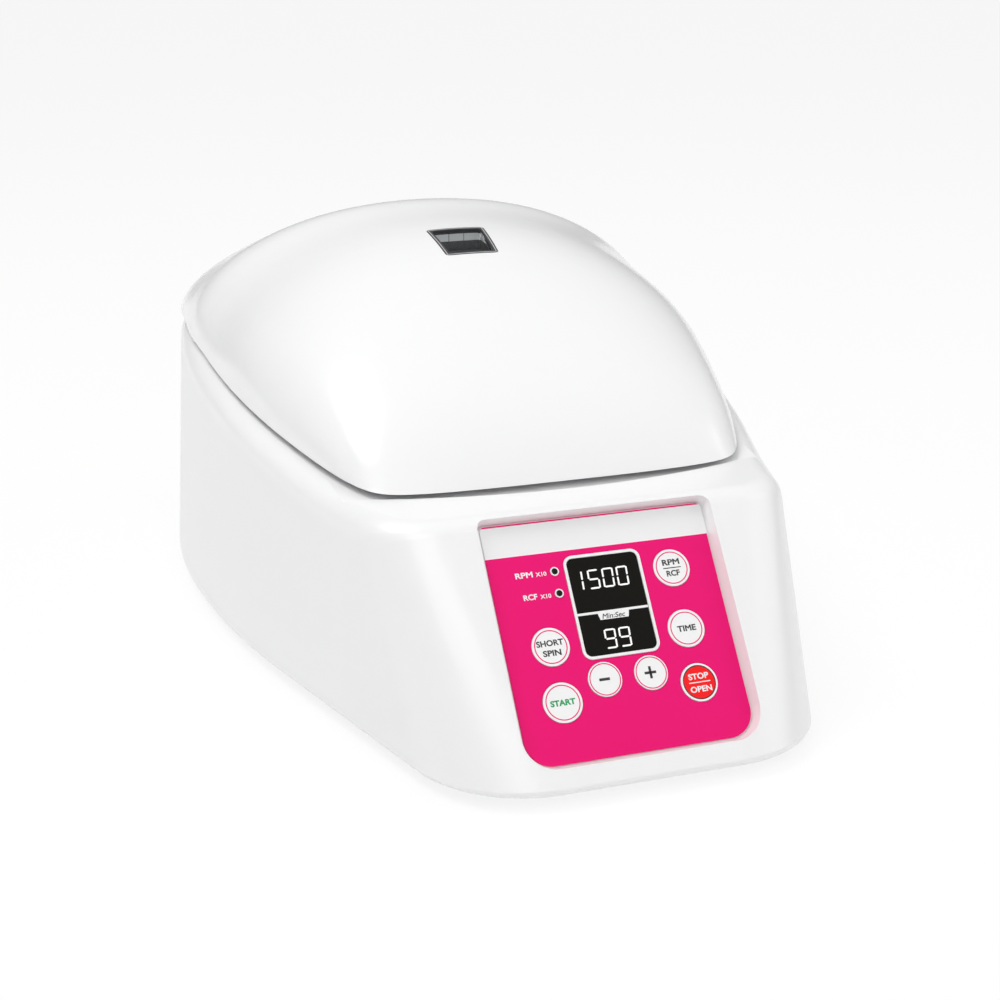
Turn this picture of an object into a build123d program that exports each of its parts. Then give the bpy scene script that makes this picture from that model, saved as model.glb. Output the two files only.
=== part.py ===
from build123d import *
import math
import os

os.makedirs("parts", exist_ok=True)

# Microcentrifuge with a hinged lid, a fixed-angle rotor and a sloping keypad.
# Millimetres. X is to the right seen from the front, Y to the back, Z up.
# The origin is on the table, under the middle of the machine.

# Rotor for twelve tubes, which the other sizes follow from
tube_count = 12
tube_angle = 45.0
tube_radius = 5.6
tube_depth = 37.0
tube_mouth_radius = 34.0
tube_end_wall = 7.84
tube_floor_wall = 3.88
rotor_bottom = 46.0
rotor_rim_run = 20.0
rotor_rim_flat = 4.0
rotor_dish_run = 44.0
rotor_head = 10.0
shaft_radius = 4.0
running_gap = 0.03
nut_height = 15.0
nut_radius = 11.5
mouth_slope = math.radians(tube_angle)
rotor_radius = tube_mouth_radius + tube_depth * math.cos(mouth_slope) + tube_end_wall
tube_mouth_height = rotor_bottom + (tube_depth + tube_radius) * math.sin(mouth_slope) + tube_floor_wall
rotor_top = tube_mouth_height + rotor_head

# Rotor chamber
bowl_gap = 4.0
basin_margin = 14.0
deck_height = 74.0
bowl_wall = 2.5
bowl_floor = 43.0
bowl_flange = 9.0
bowl_flange_thickness = 1.6
bowl_shaft_hole = 13.0
seal_height = 4.0
seal_run = 6.0
seal_width = 4.0
bowl_inner_radius = rotor_radius + bowl_gap
basin_radius = bowl_inner_radius + basin_margin

# Housing, seen from above
side_margin = 15.0
front_run = 77.2
front_margin = 19.5
rear_margin = 26.7
widest_run = 33.3
flare_angle = 15.0
flare_radius = 400.0
rear_side_radius = 250.0
rear_bow = 3.0
rear_corner = 34.0
front_corner_low = 38.0
front_corner_high = 15.0
side_draft = 6.5
housing_wall = 3.0
foot_height = 4.0
loft_top = 103.4
body_half_width = basin_radius + side_margin
body_depth = front_run + front_margin + 2 * basin_radius + rear_margin
front_y = -body_depth / 2
rim_front_y = front_y + front_run
axis_y = rim_front_y + front_margin + basin_radius
widest_y = axis_y + widest_run
chamber_back = axis_y + basin_radius

# Housing, seen from the side
front_slope = 52.17
shelf_height = 73.0
rim_front_height = 71.1
rim_slope = 7.4
roof_rounding = 8.0
roof_turn = 150.0
bottom_rounding = 1.5
roof_wall = 3.2

# Lid
lid_gap = 2.6
lid_wall = 3.0
lid_side_margin = 6.6
lid_widest_run = 52.0
lid_side_radius = 425.0
lid_front_lap = 3.5
lid_back_margin = 14.5
lid_back_rounding = 20.0
lid_skirt = 6.25
lid_section_steps = 12
lid_rear_fall = 0.42
lid_foot = 0.7
lid_head_room = 37.9
lid_stations = [
    (0.0, 0.0, 3.0),
    (0.0382, 0.1124, 3.2),
    (0.0974, 0.2876, 3.3),
    (0.2019, 0.5022, 3.0),
    (0.3508, 0.7270, 2.6),
    (0.5298, 0.9255, 2.15),
    (0.7088, 1.0, 2.1),
    (0.8258, 0.9664, 2.1),
]
lid_step_radius = 212.0
lid_step_lap = 5.5
lid_half_width = basin_radius + lid_side_margin
lid_widest_y = axis_y + lid_widest_run
lid_front = rim_front_y - lid_front_lap
lid_back = chamber_back + lid_back_margin
lid_step_front = rim_front_y - lid_step_lap

# Control panel
panel_up = 48.1
panel_depth = 3.94
panel_width = 73.4
panel_height = 75.0
panel_margin = 0.6
panel_low_corner = 9.0
panel_high_corner = 2.2
label_thickness = 0.8
panel_wall = 2.5
recess_draft = 14.0
key_gap = 0.15
key_proud = 0.2
key_round = 0.15
key_flange = 1.2
display_width = 25.2
display_length = 33.0
display_up = 8.75
display_frame = 0.9
display_corner = 3.0
display_gap = 0.1
display_sink = 0.1
led_radius = 1.3
led_round = 0.9
led_proud = 0.5

# Inside
plate_thickness = 2.5
fit_gap = 0.2
pcb_thickness = 1.6
motor_radius = 34.0
motor_bottom = 10.0
motor_top = 36.0
mount_thickness = 2.2
mount_pitch_radius = 41.0
mount_count = 3
post_radius = 5.0
bearing_radius = 8.0
bearing_height = 5.0

# Hinge
hinge_margin = 17.0
hinge_drop = 2.68
hinge_pin_radius = 2.0
hinge_barrel = 5.0
hinge_arm_x = 34.0
hinge_arm_width = 9.0
well_half_width = 52.0
well_front_run = 10.5
well_back_run = 5.5
well_drop = 7.5
hinge_y = chamber_back + hinge_margin
well_front = hinge_y - well_front_run
well_back = hinge_y + well_back_run

# Latch
striker_run = 12.5
striker_y = rim_front_y + striker_run
striker_width = 16.0
striker_thickness = 2.0
striker_low = 60.0

# Rear panel
rear_pad_sink = 4.5
rear_pad_y = body_depth / 2 - rear_pad_sink
inlet_x = -44.0
inlet_z = 34.0
inlet_width = 27.4
inlet_height = 20.0
switch_x = -14.0
switch_width = 13.0
switch_height = 19.4

# Fasteners, feet, boards and small parts
boss_inset = (33.0, 23.0)
boss_run = (4.0, 5.0)
boss_radius = 4.5
screw_radius = 1.5
screw_length = 12.0
foot_front_x = 42.0
foot_front_run = 29.7
foot_back_inset = 31.0
foot_back_run = 15.0
foot_radius = 8.0
board_post_places = [(-32, -25.5), (32, -25.5), (-32, 31), (32, 31)]
board_post_radius = 2.8
board_screw_radius = 1.1
board_drop = 5.9
pad_x = -31.0
pad_width = 58.0
pad_height = 30.0
vent_x = 42.0
vent_pitch = 6.5
vent_count = 8
vent_length = 26.0
vent_width = 3.0
plate_vent_run = 28.0
plate_vent_count = 16
module_width = 18.0
module_length = 25.0
led_places = [(-15.85, 21.0), (-15.85, 14.0)]
keys = {
    "start_key": ((-22.2, -19.3), 6.2),
    "stop_key": ((22.2, -19.3), 6.0),
    "short_spin_key": ((-22.2, -2.1), 6.0),
    "time_key": ((22.2, -2.1), 6.0),
    "speed_key": ((22.2, 17.5), 6.0),
    "minus_key": ((-7.5, -14.2), 5.4),
    "plus_key": ((7.5, -14.2), 5.4),
}

rotor_seat_gap = 0.05
shaft_shoulder = 10.0
mount_turn = 90.0
mount_screw_radius = 1.6
mount_screw_length = 12.0
damper_height = 4.0
board_low = -29.0
board_high = 34.0
switch_body = 2.3
key_flange_gap = 0.2
key_stem = 0.9

liner_gap = 0.5
liner_thickness = 2.5
liner_side_gap = 2.0
liner_ring_lift = 3.5
liner_ring_height = 6.5
liner_crown_inset = 29.0
liner_crown_room = 11.0
liner_lip_run = 2.0
seal_squeeze_gap = 0.3
inner_window_radius = 16.0
inner_window_lap = 3.0
inner_window_thickness = 2.0
lid_boss_spots = [(14.6, -63.4), (3.6, 23.0), (15.4, 49.4)]
lid_screw_length = 7.0
window_run = 0.5
window_length = 22.0
window_front_width = 19.8
window_back_width = 22.2
window_border = 1.7
window_corner = 1.5
window_lift = 22.5
well_pane_lift = 2.0
well_pane_thickness = 1.6
pane_depth = 0.7
pane_thickness = 1.5
arm_front_run = 17.0
arm_bend_run = 6.5
arm_thickness = 1.8
hinge_pin_half = 44.0
bracket_thickness = 3.0
bracket_gap = 0.6
bracket_floor = 1.8
spring_x = 14.0
spring_coils = 6
spring_pitch = 1.5
spring_radius = 3.2
spring_wire = 0.7
hook_top = 68.0
hook_nose = 8.0
hook_half = 8.0
hook_front_run = 23.0
hook_step_run = 12.0
hook_tip_run = 3.5
latch_shelf = 58.0
latch_half = 12.0
bracket_front_run = 25.0
bracket_back_run = 6.0
solenoid_height = 14.0
main_board_z = 13.0
main_half = 46.0
main_front_run = 47.7
main_back_run = 15.0
capacitor_radius = 8.0
capacitor_height = 22.0
capacitor_x = -28.0
capacitor_pitch = 22.0
capacitor_run = 8.0
transformer_x = 24.0
transformer_run = 13.0
transformer_width = 28.0
transformer_length = 22.0
winding_width = 24.0
winding_length = 30.0
winding_height = 15.0
core_height = 4.0
sink_run = 12.0
sink_width = 44.0
sink_height = 18.0
sink_plate = 3.0
fin_pitch = 6.0
fin_count = 7
fin_thickness = 1.6
fin_length = 8.0
flange_depth = 1.8
inlet_depth = 20.0
socket_width = 24.0
socket_height = 16.5
socket_depth = 15.0
switch_depth = 14.0
rocker_width = 10.5
rocker_length = 15.0
rocker_room = 9.0
rocker_tilt = 8.0

sill_half_width = 43.0
sill_run = 12.7
sill_top = 7.8

# Worked-out places
base_height = foot_height
slope = math.radians(front_slope)
back_y = body_depth / 2 - bottom_rounding * (1 / math.tan(slope / 2) - 1)
rim_rise = math.tan(math.radians(rim_slope))
plate_bottom = base_height + 0.6
plate_top = plate_bottom + plate_thickness
bowl_outer_radius = bowl_inner_radius + bowl_wall
bowl_flange_radius = bowl_inner_radius + bowl_flange
seal_radius = bowl_inner_radius + seal_run
rotor_rim_radius = rotor_radius - rotor_rim_run
rotor_dish_radius = rotor_radius - rotor_dish_run
rotor_seat = rotor_top - (rotor_rim_radius - rotor_rim_flat - rotor_dish_radius)
step_y = lid_step_front
lid_step_margin = 4.0
rebate_length = 40.0
rebate_back_y = step_y + rebate_length
slot_front = striker_y - 5.5
slot_back = striker_y + 8.5
flare_y = widest_y - flare_radius * math.sin(math.radians(flare_angle))
face_up = Vector(0, math.cos(slope), math.sin(slope))
face_out = Vector(0, -math.sin(slope), math.cos(slope))
panel_centre = Vector(0, front_y, base_height) + face_up * panel_up - face_out * panel_depth
seal_top = deck_height + bowl_flange_thickness + seal_height
rotor_axis = Axis((0, axis_y, 0), (0, 0, 1))
liner_ring_radius = basin_radius - liner_side_gap
liner_ring_low = deck_height + liner_ring_lift
liner_ring_top = liner_ring_low + liner_ring_height
liner_crown_radius = basin_radius - liner_crown_inset
liner_crown_top = rotor_top + liner_crown_room
liner_lip_radius = bowl_inner_radius + liner_lip_run
lid_front_height = rim_front_height - lid_foot
lid_crown = liner_crown_top + lid_head_room
window_y = axis_y - window_run
window_low = liner_crown_top + window_lift
sill_back = front_y + sill_run
hook_front = striker_y - hook_front_run
hook_step = striker_y - hook_step_run
hook_tip = striker_y - hook_tip_run
bracket_front = striker_y - bracket_front_run
bracket_back = striker_y + bracket_back_run
arm_front = hinge_y - arm_front_run
arm_bend = hinge_y - arm_bend_run
main_front = front_y + main_front_run
main_back = axis_y - motor_radius - main_back_run
main_middle = (main_front + main_back) / 2
plate_vent_radius = motor_radius + plate_vent_run
boss_places = [
    (side * (body_half_width - inset), y)
    for inset, y in ((boss_inset[0], striker_y - boss_run[0]), (boss_inset[1], chamber_back - boss_run[1]))
    for side in (-1, 1)
]
foot_places = [
    (side * x, y)
    for x, y in (
        (foot_front_x, front_y + foot_front_run),
        (body_half_width - foot_back_inset, chamber_back - foot_back_run),
    )
    for side in (-1, 1)
]
lid_boss_places = [
    (
        side * (basin_radius + out) * math.cos(math.radians(turn)),
        axis_y + (basin_radius + out) * math.sin(math.radians(turn)),
    )
    for out, turn in lid_boss_spots
    for side in (-1, 1)
]
panel = Plane(origin=panel_centre, x_dir=(1, 0, 0), z_dir=face_out)
far = 2 * body_depth


def rim_z(y):
    """Height of the housing's sloping rim under the lid."""
    return rim_front_height + rim_rise * (y - rim_front_y)


hinge_z = rim_z(hinge_y) - hinge_drop
well_floor = hinge_z - well_drop


def lid_z(y):
    """Height of the lid's lower edge."""
    return rim_z(y) + lid_gap


def face_y(z):
    """Where the sloping front face stands at a height."""
    return front_y + (z - base_height) / math.tan(slope)


def bow(radius, run):
    """How far a circle falls away from its tangent over a run."""
    return radius - math.sqrt(radius**2 - run**2)


def side_x(half_width, y):
    """Half-width of the housing's outline on its flared side."""
    radius = flare_radius if y < widest_y else rear_side_radius
    return half_width - bow(radius, y - widest_y)


def side_inset(z):
    """How far the drafted side walls lean in at a height."""
    return side_draft * (z - base_height) / (loft_top - base_height)


def front_corner(z):
    """Plan radius of the front corners at a height."""
    share = (z - base_height) / (loft_top - base_height)
    return front_corner_low + (front_corner_high - front_corner_low) * share


def housing_outline(z, wall):
    """Plan outline of the housing at one level, taken in by a wall."""
    half = body_half_width - side_inset(z) - wall
    front = face_y(z) + wall / math.sin(slope)
    back = back_y - wall
    tail_y = back - rear_bow
    flare_x = side_x(half, flare_y)
    nose_x = flare_x - (flare_y - front) * math.tan(math.radians(flare_angle))
    tail_x = side_x(half, tail_y)
    mid_y = (flare_y + widest_y) / 2
    late_y = (widest_y + tail_y) / 2
    with BuildSketch(Plane.XY.offset(z)) as outline:
        with BuildLine():
            Line((-nose_x, front), (nose_x, front))
            Line((nose_x, front), (flare_x, flare_y))
            ThreePointArc((flare_x, flare_y), (side_x(half, mid_y), mid_y), (half, widest_y))
            ThreePointArc((half, widest_y), (side_x(half, late_y), late_y), (tail_x, tail_y))
            ThreePointArc((tail_x, tail_y), (0, back), (-tail_x, tail_y))
            ThreePointArc((-tail_x, tail_y), (-side_x(half, late_y), late_y), (-half, widest_y))
            ThreePointArc((-half, widest_y), (-side_x(half, mid_y), mid_y), (-flare_x, flare_y))
            Line((-flare_x, flare_y), (-nose_x, front))
        make_face()
        fillet(outline.vertices().group_by(Axis.Y)[0], front_corner(z) - wall / 2)
        fillet(outline.vertices().filter_by(lambda v: abs(v.Y - tail_y) < 0.01), rear_corner - wall)
    return outline.sketch


def side_profile(points):
    """Closed outline in the plane that splits the machine left and right."""
    with BuildSketch(Plane.YZ) as profile:
        with BuildLine():
            Polyline(*points, close=True)
        make_face()
    return profile.sketch


def roof_profile(drop):
    """Space above the housing's roof, where the shelf turns into the rim."""
    turn_y = rim_front_y + (shelf_height - rim_front_height) / rim_rise
    with BuildSketch(Plane.YZ) as profile:
        with BuildLine():
            Polyline(
                (-far, shelf_height - drop),
                (turn_y, shelf_height - drop),
                (far, rim_z(far) - drop),
                (far, far),
                (-far, far),
                close=True,
            )
        make_face()
        fillet(profile.vertices().sort_by_distance((0, turn_y, shelf_height - drop))[0], roof_turn)
    return profile.sketch


def lid_sections(wall):
    """Cross-sections of the domed lid from front to back, taken in by a wall."""
    sections = []
    stations = [
        (
            lid_front + run * (lid_back - lid_front),
            lid_front_height + rise * (lid_crown - lid_front_height),
            power,
        )
        for run, rise, power in lid_stations
        if wall == 0 or run > 0
    ]
    round_y = lid_back - lid_back_rounding
    last_y, last_z, last_power = stations[-1]
    for turn in (0, 30, 55, 75, 90):
        radius = lid_back_rounding - wall
        y = round_y + radius * math.sin(math.radians(turn))
        fall = radius * (1 - math.cos(math.radians(turn)))
        line = last_z - (y - last_y) * lid_rear_fall
        stations.append((y, line - fall, last_power))
    for index, (y, crown, power) in enumerate(stations):
        before = stations[max(index - 1, 0)]
        after = stations[min(index + 1, len(stations) - 1)]
        rise = (after[1] - before[1]) / (after[0] - before[0]) if y < round_y else lid_rear_fall
        top = crown - wall * math.hypot(1, rise)
        half = lid_half_width - bow(lid_side_radius, y - lid_widest_y) - wall
        if y > round_y:
            half -= lid_back_rounding - wall - math.sqrt(
                max((lid_back_rounding - wall) ** 2 - (y - round_y) ** 2, 0)
            )
        low = lid_z(y) - lid_skirt
        points = []
        for step in range(lid_section_steps + 1):
            turn = math.pi * step / lid_section_steps
            across = math.copysign(abs(math.cos(turn)) ** (2 / power), math.cos(turn))
            points.append((half * across, low + (top - low) * math.sin(turn) ** (2 / power)))
        points[0] = (half, low)
        points[-1] = (-half, low)
        with BuildSketch(Plane(origin=(0, y, 0), x_dir=(1, 0, 0), z_dir=(0, -1, 0))) as section:
            with BuildLine():
                Spline(*points)
                Line(points[-1], points[0])
            make_face()
        sections.append(section.sketch)
    return sections


def liner_z(y):
    """Height of the inner cover's underside."""
    return lid_z(y) + liner_gap


lid_normal = (0, -math.sin(math.radians(rim_slope)), math.cos(math.radians(rim_slope)))
liner_plane = Plane(origin=(0, 0, liner_z(0)), x_dir=(1, 0, 0), z_dir=lid_normal)


def window_outline(border):
    """Outline of the lid's window, taken in by a border."""
    half = window_length / 2 - border
    with BuildSketch(Plane.XY.offset(window_low)) as outline:
        with BuildLine():
            Polyline(
                (-window_front_width / 2 + border, window_y - half),
                (window_front_width / 2 - border, window_y - half),
                (window_back_width / 2 - border, window_y + half),
                (-window_back_width / 2 + border, window_y + half),
                close=True,
            )
        make_face()
        fillet(outline.vertices(), window_corner)
    return outline.sketch


def liner_collar():
    """Collar that joins the chamber cover to the sloping sheet at the back."""
    with BuildPart(mode=Mode.PRIVATE) as collar:
        with BuildSketch(Plane.XY.offset(liner_ring_top - 3)):
            with Locations((0, axis_y)):
                Circle(liner_ring_radius)
                Circle(liner_ring_radius - liner_thickness, mode=Mode.SUBTRACT)
        extrude(amount=far)
        with BuildSketch(liner_plane.offset(liner_thickness)):
            Rectangle(2 * far, 2 * far)
        extrude(amount=2 * far, mode=Mode.SUBTRACT)
    return collar.part


# Housing: drafted and flared walls, a sloping front and an inclined rim
with BuildPart() as housing_space:
    loft([housing_outline(base_height, housing_wall), housing_outline(loft_top, housing_wall)])
    extrude(roof_profile(roof_wall), amount=far, both=True, mode=Mode.SUBTRACT)
    with BuildSketch(Plane.XY.offset(deck_height - housing_wall)) as basin_shell:
        with Locations((0, axis_y)):
            Circle(basin_radius + housing_wall)
    extrude(amount=far, mode=Mode.SUBTRACT)
    with BuildSketch(Plane.XY.offset(well_floor - housing_wall)):
        with Locations((0, (well_front + back_y) / 2)):
            Rectangle(2 * (well_half_width + housing_wall), back_y - well_front + 2 * housing_wall)
    extrude(amount=far, mode=Mode.SUBTRACT)
    with BuildSketch(panel.offset(-label_thickness - panel_wall)):
        Rectangle(panel_width + 4 * housing_wall, panel_height + 4 * housing_wall)
    extrude(amount=4 * panel_depth, mode=Mode.SUBTRACT)
    with BuildSketch(Plane.XZ.offset(-(rear_pad_y - housing_wall))):
        with Locations((pad_x, inlet_z)):
            Rectangle(pad_width + 2 * housing_wall, pad_height + 2 * housing_wall)
    extrude(amount=-far, mode=Mode.SUBTRACT)
    with BuildSketch(Plane.XY.offset(plate_top)):
        with Locations(*boss_places):
            Circle(boss_radius)
    extrude(amount=far, mode=Mode.SUBTRACT)
    with BuildSketch(Plane.XY.offset(base_height)):
        with Locations((0, front_y)):
            Rectangle(2 * sill_half_width, 2 * (sill_back - front_y))
    extrude(amount=sill_top - base_height, mode=Mode.SUBTRACT)
    with BuildSketch(panel.offset(-label_thickness - panel_wall)):
        with Locations(*board_post_places):
            Circle(board_post_radius)
    extrude(amount=-board_drop, mode=Mode.SUBTRACT)

with BuildPart() as lid_rebate:
    extrude(side_profile([
        (step_y - lid_step_margin, rim_z(step_y - lid_step_margin)),
        (rebate_back_y, rim_z(rebate_back_y)),
        (rebate_back_y, far),
        (step_y - lid_step_margin, far),
    ]), amount=far, both=True)
    with BuildSketch(Plane.XY):
        with Locations((0, step_y + lid_step_radius)):
            Circle(lid_step_radius)
    extrude(amount=far, mode=Mode.INTERSECT)

with BuildPart() as lower_housing:
    loft([housing_outline(base_height, 0), housing_outline(loft_top, 0)])
    extrude(roof_profile(0), amount=far, both=True, mode=Mode.SUBTRACT)
    roof_faces = lower_housing.faces().filter_by(lambda f: f.normal_at(f.center()).Z > 0.9)
    roof_edges = ShapeList(
        edge for edge in roof_faces.edges() if sum(edge in face.edges() for face in roof_faces) == 1
    )
    fillet(roof_edges, roof_rounding)
    fillet(lower_housing.faces().sort_by(Axis.Z)[0].edges(), bottom_rounding)
    add(housing_space.part, mode=Mode.SUBTRACT)
    add(lid_rebate.part, mode=Mode.SUBTRACT)
    with BuildSketch(Plane.XY.offset(deck_height)):
        with Locations((0, axis_y)):
            Circle(basin_radius)
    extrude(amount=far, mode=Mode.SUBTRACT)
    with BuildSketch(Plane.XY.offset(deck_height)):
        with Locations((0, axis_y)):
            Circle(bowl_outer_radius + fit_gap)
    extrude(amount=-2 * housing_wall, mode=Mode.SUBTRACT)
    with BuildSketch(Plane.XY.offset(well_floor)):
        with Locations((0, (well_front + well_back) / 2)):
            RectangleRounded(2 * well_half_width, well_back - well_front, housing_wall)
    extrude(amount=far, mode=Mode.SUBTRACT)
    with BuildSketch(Plane.XY.offset(striker_low)):
        with Locations((0, (slot_front + slot_back) / 2)):
            RectangleRounded(striker_width + 4, slot_back - slot_front, 1.5)
    extrude(amount=far, mode=Mode.SUBTRACT)
    with BuildSketch(panel.offset(-label_thickness)) as panel_floor:
        Rectangle(panel_width + 2 * panel_margin, panel_height + 2 * panel_margin)
        fillet(panel_floor.vertices().group_by(Axis.Y)[0], panel_low_corner)
        fillet(panel_floor.vertices().group_by(Axis.Y)[-1], panel_high_corner)
    extrude(amount=2 * panel_depth, taper=-recess_draft, mode=Mode.SUBTRACT)
    with BuildSketch(panel):
        for place, radius in keys.values():
            with Locations(place):
                Circle(radius + key_gap)
        with Locations(*led_places):
            Circle(led_radius + key_gap)
        with Locations((0, display_up)):
            Rectangle(module_width + 2 * key_gap, module_length + 2 * key_gap)
    extrude(amount=-2 * panel_depth, mode=Mode.SUBTRACT)
    with BuildSketch(panel.offset(-label_thickness - panel_wall - board_drop)):
        with Locations(*board_post_places):
            Circle(board_screw_radius)
    extrude(amount=board_drop - 1, mode=Mode.SUBTRACT)
    with BuildSketch(Plane.XY.offset(base_height)):
        with Locations(*boss_places):
            Circle(screw_radius + 0.1)
    extrude(amount=screw_length + 1, mode=Mode.SUBTRACT)
    with BuildSketch(Plane.XZ.offset(-rear_pad_y)):
        with Locations((pad_x, inlet_z)):
            RectangleRounded(pad_width, pad_height, 3)
    extrude(amount=-far, mode=Mode.SUBTRACT)
    with BuildSketch(Plane.XZ.offset(-(rear_pad_y - 2 * housing_wall))):
        with Locations((inlet_x, inlet_z)):
            Rectangle(inlet_width + 2 * fit_gap, inlet_height + 2 * fit_gap)
        with Locations((switch_x, inlet_z)):
            Rectangle(switch_width + 2 * fit_gap, switch_height + 2 * fit_gap)
        with Locations((vent_x, inlet_z)):
            with GridLocations(vent_pitch, 0, vent_count, 1):
                SlotOverall(vent_length, vent_width, rotation=90)
    extrude(amount=-far, mode=Mode.SUBTRACT)
lower_housing.part.label = "lower_housing"
export_step(lower_housing.part, "parts/lower_housing.step")

# Base plate, feet and the screws that hold them
with BuildPart() as base_plate:
    loft([
        housing_outline(plate_bottom, housing_wall + fit_gap),
        housing_outline(plate_top, housing_wall + fit_gap),
    ])
    with BuildSketch(Plane.XY.offset(plate_bottom)):
        with Locations(*boss_places):
            Circle(screw_radius + 0.1)
        with Locations((0, front_y)):
            Rectangle(2 * (sill_half_width + fit_gap), 2 * (sill_back + fit_gap - front_y))
        with Locations((0, axis_y)):
            with PolarLocations(plate_vent_radius, plate_vent_count):
                SlotOverall(vent_length / 2, vent_width)
    extrude(amount=plate_thickness, mode=Mode.SUBTRACT)
base_plate.part.label = "base_plate"
export_step(base_plate.part, "parts/base_plate.step")

with BuildPart() as rubber_feet:
    with BuildSketch(Plane.XY):
        with Locations(*foot_places):
            Circle(foot_radius)
    extrude(amount=plate_bottom)
    chamfer(rubber_feet.faces().group_by(Axis.Z)[0].edges(), 1.2)
rubber_feet.part.label = "rubber_feet"
export_step(rubber_feet.part, "parts/rubber_feet.step")

with BuildPart() as housing_screws:
    with BuildSketch(Plane.XY.offset(plate_bottom)):
        with Locations(*boss_places):
            Circle(screw_radius)
    extrude(amount=screw_length)
    with BuildSketch(Plane.XY.offset(plate_bottom)):
        with Locations(*boss_places):
            Circle(2 * screw_radius)
    extrude(amount=-1.8)
    fillet(housing_screws.faces().group_by(Axis.Z)[0].edges(), 0.8)
housing_screws.part.label = "housing_screws"
export_step(housing_screws.part, "parts/housing_screws.step")

# Rotor chamber: bowl hung from the deck, with the seal that the lid presses
with BuildPart() as rotor_bowl:
    with BuildSketch(Plane.XZ.offset(-axis_y)) as bowl_section:
        with BuildLine():
            Polyline(
                (bowl_shaft_hole, bowl_floor - bowl_wall),
                (bowl_outer_radius, bowl_floor - bowl_wall),
                (bowl_outer_radius, deck_height),
                (bowl_flange_radius, deck_height),
                (bowl_flange_radius, deck_height + bowl_flange_thickness),
                (bowl_inner_radius, deck_height + bowl_flange_thickness),
                (bowl_inner_radius, bowl_floor),
                (bowl_shaft_hole + bowl_wall, bowl_floor),
                (bowl_shaft_hole + bowl_wall, bowl_floor + 2),
                (bowl_shaft_hole, bowl_floor + 2),
                close=True,
            )
        make_face()
        fillet(bowl_section.vertices().sort_by_distance((bowl_inner_radius, bowl_floor))[0], 6)
        fillet(bowl_section.vertices().sort_by_distance((bowl_outer_radius, bowl_floor - bowl_wall))[0], 8)
    revolve(axis=rotor_axis)
rotor_bowl.part.label = "rotor_bowl"
export_step(rotor_bowl.part, "parts/rotor_bowl.step")

with BuildPart() as bowl_seal:
    with BuildSketch(Plane.XZ.offset(-axis_y)) as seal_section:
        with Locations((seal_radius, deck_height + bowl_flange_thickness + seal_height / 2)):
            Rectangle(seal_width, seal_height)
        fillet(seal_section.vertices().group_by(Axis.Y)[-1], 1.2)
    revolve(axis=rotor_axis)
bowl_seal.part.label = "bowl_seal"
export_step(bowl_seal.part, "parts/bowl_seal.step")

# Fixed-angle rotor: every tube hole leans in at the mouth
tube_out = (math.cos(mouth_slope), 0, -math.sin(mouth_slope))
with BuildPart() as tube_hole:
    with BuildSketch(Plane(origin=(tube_mouth_radius, 0, tube_mouth_height), z_dir=tube_out)):
        Circle(tube_radius)
    extrude(amount=tube_depth)
    extrude(tube_hole.faces().sort_by(Axis.Z)[-1], amount=tube_depth / 2)
    fillet(tube_hole.faces().sort_by(Axis.Z)[0].edges(), tube_radius - 1.6)

with BuildPart() as rotor:
    with BuildSketch(Plane.XZ.offset(-axis_y)) as rotor_section:
        with BuildLine():
            Polyline(
                (shaft_radius + rotor_seat_gap, rotor_bottom),
                (rotor_radius - 8, rotor_bottom),
                (rotor_radius, rotor_bottom + 8),
                (rotor_radius, rotor_bottom + 14),
                (rotor_rim_radius, rotor_top),
                (rotor_rim_radius - rotor_rim_flat, rotor_top),
                (rotor_dish_radius, rotor_seat),
                (shaft_radius + rotor_seat_gap, rotor_seat),
                close=True,
            )
        make_face()
        fillet(rotor_section.vertices().sort_by_distance((rotor_rim_radius, rotor_top))[0], 1.5)
    revolve(axis=rotor_axis)
    with Locations((0, axis_y, 0)):
        with PolarLocations(0, tube_count):
            add(tube_hole.part, mode=Mode.SUBTRACT)
rotor.part.label = "rotor"
export_step(rotor.part, "parts/rotor.step")

with BuildPart() as rotor_nut:
    with BuildSketch(Plane.XY.offset(rotor_seat)):
        with Locations((0, axis_y)):
            Circle(nut_radius)
            with PolarLocations(nut_radius + 1.2, 10):
                Circle(2.2, mode=Mode.SUBTRACT)
    extrude(amount=nut_height)
    with BuildSketch(Plane.XY.offset(rotor_seat)):
        with Locations((0, axis_y)):
            Circle(shaft_radius + rotor_seat_gap)
    extrude(amount=nut_height - 3, mode=Mode.SUBTRACT)
    fillet(rotor_nut.faces().sort_by(Axis.Z)[-1].edges(), 0.9)
rotor_nut.part.label = "rotor_nut"
export_step(rotor_nut.part, "parts/rotor_nut.step")

with BuildPart() as motor_shaft:
    with BuildSketch(Plane.XZ.offset(-axis_y)):
        with BuildLine():
            Polyline(
                (0, motor_bottom + 0.5),
                (shaft_radius, motor_bottom + 0.5),
                (shaft_radius, rotor_bottom - 3),
                (shaft_shoulder, rotor_bottom - 3),
                (shaft_shoulder, rotor_bottom),
                (shaft_radius, rotor_bottom),
                (shaft_radius, rotor_seat + nut_height - 4),
                (0, rotor_seat + nut_height - 4),
                close=True,
            )
        make_face()
    revolve(axis=rotor_axis)
motor_shaft.part.label = "motor_shaft"
export_step(motor_shaft.part, "parts/motor_shaft.step")

# Motor on its damped mount under the bowl
with BuildPart() as motor_can:
    with BuildSketch(Plane.XZ.offset(-axis_y)) as can_section:
        with BuildLine():
            Polyline(
                (bearing_radius, motor_bottom),
                (motor_radius, motor_bottom),
                (motor_radius, motor_top),
                (bearing_radius, motor_top),
                close=True,
            )
        make_face()
        fillet(can_section.vertices().sort_by_distance((motor_radius, motor_bottom))[0], 3)
        fillet(can_section.vertices().sort_by_distance((motor_radius, motor_top))[0], 1.5)
    revolve(axis=rotor_axis)
motor_can.part.label = "motor_can"
export_step(motor_can.part, "parts/motor_can.step")

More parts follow.
